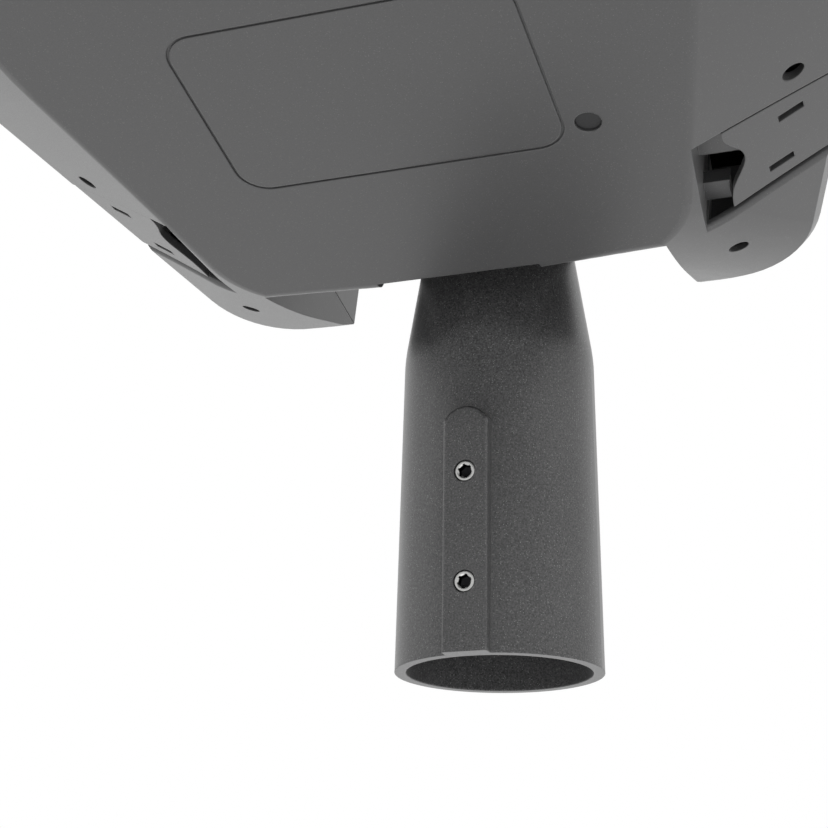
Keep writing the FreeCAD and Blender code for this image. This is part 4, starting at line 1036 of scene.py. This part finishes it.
@dataclass
class Driver:
    """Potted driver: case with end caps, and feet that are screwed to the gear space's floor."""

    width: float = 140.0
    length: float = 60.0
    height: float = 35.0
    front: float = 168.0
    edge: float = 2.2
    cap_width: float = 12.2
    cap_overlap: float = 0.2
    cap_edge: float = 2.6
    foot_width: float = 12.0
    foot_length: float = 30.0
    foot_thickness: float = 3.0
    foot_overlap: float = 2.0
    foot_edge: float = 0.8
    screw: Screw = Screw(
        "foot_screw",
        ((2.0, -4.4), (2.0, 0.0), (4.0, 0.0), (4.0, 0.5), (3.6, 1.4), (2.6, 1.95)),
        recess=((1.5, 2.0), (1.4, 0.8)),
    )

    def build(self) -> None:
        """Make the driver and the screws through its feet."""
        middle, half = -self.front + self.length / 2, self.width / 2
        width = self.width - 2 * (self.cap_width - self.cap_overlap)
        size = Vector((width, self.length, self.height))
        place = Vector((0, middle, GEAR_FLOOR + size.z / 2))
        parts = [Shape.block("driver_body", size, place, self.edge, Finish.CASE)]
        cap = Vector((self.cap_width, self.length, self.height))
        foot = Vector((self.foot_width + self.foot_overlap, self.foot_length, self.foot_thickness))
        for side in (-1, 1):
            place = Vector((side * (half - cap.x / 2), middle, GEAR_FLOOR + cap.z / 2))
            parts.append(Shape.block("driver_cap", cap, place, self.cap_edge, Finish.BLACK))
            x = half + self.foot_width / 2 - self.foot_overlap / 2
            place = Vector((side * x, middle, GEAR_FLOOR + foot.z / 2))
            parts.append(Shape.block("driver_foot", foot, place, self.foot_edge, Finish.BLACK))
        fit(Shape.join("led_driver_detail", parts), Matrix.Identity(4), "led_driver")
        x = half + self.foot_width / 2
        seat = GEAR_FLOOR + self.foot_thickness
        places = [Vector((side * x, middle, seat)) for side in (-1, 1)]
        self.screw.set_out("driver_screws_detail", places, ("driver_screws",))


@dataclass
class MainsSide:
    """Terminal block with its clamp screws, surge protector and earth screw."""

    rear: float = 66.0
    block_x: float = 34.0
    block_width: float = 46.0
    block_length: float = 20.0
    poles: int = 3
    clamp_rise: float = 12.0
    clamp: Screw = Screw(
        "clamp",
        ((3.1, 0.0), (3.1, 2.0), (2.7, 2.5)),
        recess=((1.3, 2.5), (1.2, 1.2)),
        lobe=0.35,
        count=4,
    )
    surge_x: float = 36.0
    surge_width: float = 44.0
    surge_length: float = 26.0
    surge_height: float = 24.0
    surge_edge: float = 1.6
    window: Triple = (7.0, 5.0, 0.8)
    window_shift: float = 12.0
    window_sink: float = 0.2
    window_edge: float = 0.3

    def clamps(self) -> None:
        """Clamp screws of the terminal block, one for each pole."""
        y = -self.rear - self.block_length / 2
        places = []
        for pole in range(self.poles):
            x = self.block_x + self.block_width * ((pole + 0.5) / self.poles - 0.5)
            places.append(Vector((x, y, GEAR_FLOOR + self.clamp_rise)))
        self.clamp.set_out("terminal_screws", places)

    def surge(self) -> None:
        """Surge protector with a status window."""
        middle = -self.rear - self.surge_length / 2
        size = Vector((self.surge_width, self.surge_length, self.surge_height))
        place = Vector((-self.surge_x, middle, GEAR_FLOOR + size.z / 2))
        case = Shape.block("surge_case", size, place, self.surge_edge, Finish.NYLON)
        top = GEAR_FLOOR + self.surge_height - self.window_sink
        place = Vector((-self.surge_x - self.window_shift, middle, top))
        window = Shape.block("surge_window", Vector(self.window), place, self.window_edge, Finish.BLACK)
        piece = Shape.join("surge_protector_detail", [case, window])
        fit(piece, Matrix.Identity(4), "surge_protector")

    def build(self) -> None:
        """Make the clamp screws and the surge protector, and dress what stays plain."""
        self.clamps()
        self.surge()
        PAINT.dress("terminal_block", Finish.NYLON)
        PAINT.dress("earth_screw", Finish.BRASS)


@dataclass
class CableGland:
    """Cable gland with a stem, a gripped cap and a lip round the cable's hole, and its nut."""

    seat: float = -40.0
    drop: float = 27.5
    stem: float = 16.0
    stem_length: float = 12.0
    chamfer: float = 0.8
    cap: float = 22.0
    cap_height: float = 4.0
    grips: int = 12
    grip: float = 0.5
    grip_height: float = 2.6
    crown_inset: float = 1.6
    crown_grip: float = 0.2
    crown_drop: float = 0.2
    face_inset: float = 2.6
    lip: float = 1.4
    cable: float = 9.0

    def loops(self) -> list[Loop]:
        """Closed rings of the gland.

        Returns:
            The rings from the stem's end over the cap to the hole, with the cap along +Z.
        """
        stem, hole, cap = self.stem / 2, self.cable / 2, self.cap / 2
        end, face, chamfer = -self.stem_length, self.cap_height, self.chamfer
        loops = Shape.rings(((hole, end), (stem - chamfer, end), (stem, end + chamfer), (stem, 0.0)))
        for level in (0.0, self.grip_height):
            loops.append(Shape.lobes(cap - self.grip, self.grip, self.grips, level))
        loops.append(Shape.lobes(cap - self.crown_inset, self.crown_grip, self.grips, face - self.crown_drop))
        front = ((cap - self.face_inset, face), (hole + self.lip, face), (hole, face - chamfer))
        return loops + Shape.rings(front)

    def build(self) -> None:
        """Make the gland and dress its nut."""
        gland = Shape.skin("cable_gland_detail", self.loops(), Finish.BLACK, True)
        place = Matrix.Translation(Vector((0, self.seat, -self.drop)) * MM)
        fit(gland, place @ Matrix.Rotation(-QUARTER_TURN, 4, "X"), "cable_gland")
        PAINT.dress("gland_nut", Finish.BLACK)


@dataclass
class Breather:
    """Breather vent with a scalloped cap."""

    x: float = 60.0
    y: float = 98.0
    cap: float = 14.0
    height: float = 5.0
    stem: Profile = ((3.9, -2.2), (3.9, 0.0))
    brim: float = 1.0
    grips: int = 8
    grip: float = 0.4
    grip_inset: float = 0.6
    grip_levels: Pair = (1.2, 4.0)
    crown: Profile = ((1.4, 0.2), (2.4, 0.0))

    def build(self) -> None:
        """Make the vent."""
        radius = self.cap / 2
        loops = Shape.rings(self.stem + ((radius, 0.0), (radius, self.brim)))
        for level in self.grip_levels:
            loops.append(Shape.lobes(radius - self.grip_inset, self.grip, self.grips, level))
        loops += [Shape.ring(radius - inset, self.height - drop) for inset, drop in self.crown]
        vent = Shape.skin("breather_vent_detail", loops, Finish.BLACK)
        place = Matrix.Translation(Vector((self.x, -self.y, GEAR_FLOOR)) * MM)
        fit(vent, place, "breather_vent")


@dataclass(frozen=True)
class SoftBox:
    """Square soft lamp that the camera doesn't see, with its place and size in metres and power in watts."""

    name: str
    place: Triple
    size: float
    power: float

    def build(self, aim: Vector) -> None:
        """Set the lamp up.

        Args:
            aim: Point that the lamp faces, in metres.
        """
        data = bpy.data.lights.new(self.name, "AREA")
        data.shape = "SQUARE"
        data.size = self.size
        data.energy = self.power
        lamp = put(self.name, data)
        lamp.location = self.place
        lamp.visible_camera = False
        lamp.rotation_euler = (aim - Vector(self.place)).to_track_quat("-Z", "Y").to_euler()


@dataclass
class Studio:
    """Pale floor, soft light and the camera of the photograph."""

    floor_level: float = -0.75
    floor_reach: float = 14.0
    floor_steps: int = 96
    floor_tone: float = 0.85
    floor_roughness: float = 0.9
    floor_glow: float = 0.6
    floor_fade: Pair = (1.0, 3.5)
    ambient: float = 0.50
    aim: Triple = (0.0, -0.15, 0.12)
    lamps: tuple[SoftBox, ...] = (
        SoftBox("soft_left", (-1.6, -0.7, 0.6), 1.2, 1.0),
        SoftBox("soft_right", (1.7, -0.2, 0.9), 1.2, 1.0),
        SoftBox("soft_top", (0.0, -0.2, 1.9), 1.6, 22.0),
        SoftBox("soft_low", (0.2, -0.4, -0.7), 0.9, 2.9),
    )
    lens: float = 79.07
    sensor: float = 36.0
    near: float = 0.01
    eye: Triple = (0.1756, -0.5698, -0.1155)
    heading: float = 19.972
    pitch: float = 19.068
    roll: float = 0.873

    def world(self) -> None:
        """White surround for the camera and for reflections, softer light on the surfaces."""
        world = bpy.data.worlds.new("studio")
        bpy.context.scene.world = world
        world.use_nodes = True
        nodes, links = world.node_tree.nodes, world.node_tree.links
        nodes.clear()
        path = nodes.new("ShaderNodeLightPath")
        shown = path.outputs["Is Camera Ray"]
        for kind in ("Is Glossy Ray", "Is Transmission Ray"):
            either = nodes.new("ShaderNodeMath")
            either.operation = "MAXIMUM"
            links.new(shown, either.inputs[0])
            links.new(path.outputs[kind], either.inputs[1])
            shown = either.outputs["Value"]
        mix = nodes.new("ShaderNodeMixShader")
        links.new(shown, mix.inputs["Fac"])
        for place, strength in ((1, self.ambient), (2, 1.0)):
            surround = nodes.new("ShaderNodeBackground")
            surround.inputs["Color"].default_value = (1, 1, 1, 1)
            surround.inputs["Strength"].default_value = strength
            links.new(surround.outputs["Background"], mix.inputs[place])
        out = nodes.new("ShaderNodeOutputWorld")
        links.new(mix.outputs["Shader"], out.inputs["Surface"])

    def floor_finish(self) -> bpy.types.Material:
        """Pale matt finish that is white in reflections, fades to white far away and is clear from below.

        Returns:
            The finished material.
        """
        shader = Shader("pale_floor")
        tone = self.floor_tone
        shader.set(Base_Color=(tone, tone, tone, 1), Roughness=self.floor_roughness)
        path = shader.add("LightPath")
        mirrored = shader.maths("MAXIMUM", path.outputs["Is Glossy Ray"], path.outputs["Is Transmission Ray"])
        away = shader.add("VectorMath", operation="LENGTH")
        shader.links.new(shader.place(), away.inputs[0])
        fade = shader.span(away.outputs["Value"], self.floor_fade, (self.floor_glow, 1.0))
        seen = shader.maths("MULTIPLY", path.outputs["Is Camera Ray"], fade)
        lit = shader.mix(shader.maths("MAXIMUM", mirrored, seen), shader.surface, shader.add("Emission"))
        under = shader.add("NewGeometry").outputs["Backfacing"]
        clear = shader.mix(under, lit, shader.add("BsdfTransparent"))
        shader.links.new(clear.outputs["Shader"], shader.nodes["Material Output"].inputs["Surface"])
        return shader.material

    def floor(self) -> None:
        """Plain pale floor under the light."""
        work = bmesh.new()
        bmesh.ops.create_circle(work, cap_ends=True, radius=self.floor_reach, segments=self.floor_steps)
        bmesh.ops.translate(work, vec=(0, 0, self.floor_level), verts=work.verts)
        mesh = bpy.data.meshes.new("floor")
        work.to_mesh(mesh)
        work.free()
        mesh.materials.append(self.floor_finish())
        floor = put("floor", mesh)

    def camera(self) -> None:
        """Camera at the photograph's place and angle."""
        data = bpy.data.cameras.new("camera")
        data.sensor_width = self.sensor
        data.lens = self.lens
        data.clip_start = self.near
        camera = put("camera", data)
        heading, pitch, roll = (math.radians(angle) for angle in (self.heading, self.pitch, self.roll))
        across = Vector((math.cos(heading), math.sin(heading), 0))
        level = Vector((-math.sin(heading), math.cos(heading), 0))
        ahead = level * math.cos(pitch) + Vector((0, 0, math.sin(pitch)))
        over = across.cross(ahead)
        right = across * math.cos(roll) + over * math.sin(roll)
        up = over * math.cos(roll) - across * math.sin(roll)
        turn = Matrix((right, up, -ahead)).transposed()
        camera.matrix_world = Matrix.Translation(self.eye) @ turn.to_4x4()
        bpy.context.scene.camera = camera

    def build(self) -> None:
        """Set the stage."""
        bpy.context.scene.view_settings.view_transform = "Standard"
        self.camera()
        self.world()
        self.floor()
        for lamp in self.lamps:
            lamp.build(Vector(self.aim))
        LOG.info("studio set with %d lamps", len(self.lamps))


def main() -> None:
    """Build every sub-assembly in order."""
    logging.basicConfig(level=logging.INFO, format="%(name)s: %(message)s")
    Studio().build()
    TiltJoint().build()
    SetScrews().build()
    Castings().build()
    Optic().build()
    Driver().build()
    MainsSide().build()
    CableGland().build()
    Breather().build()


if __name__ == "__main__":
    main()
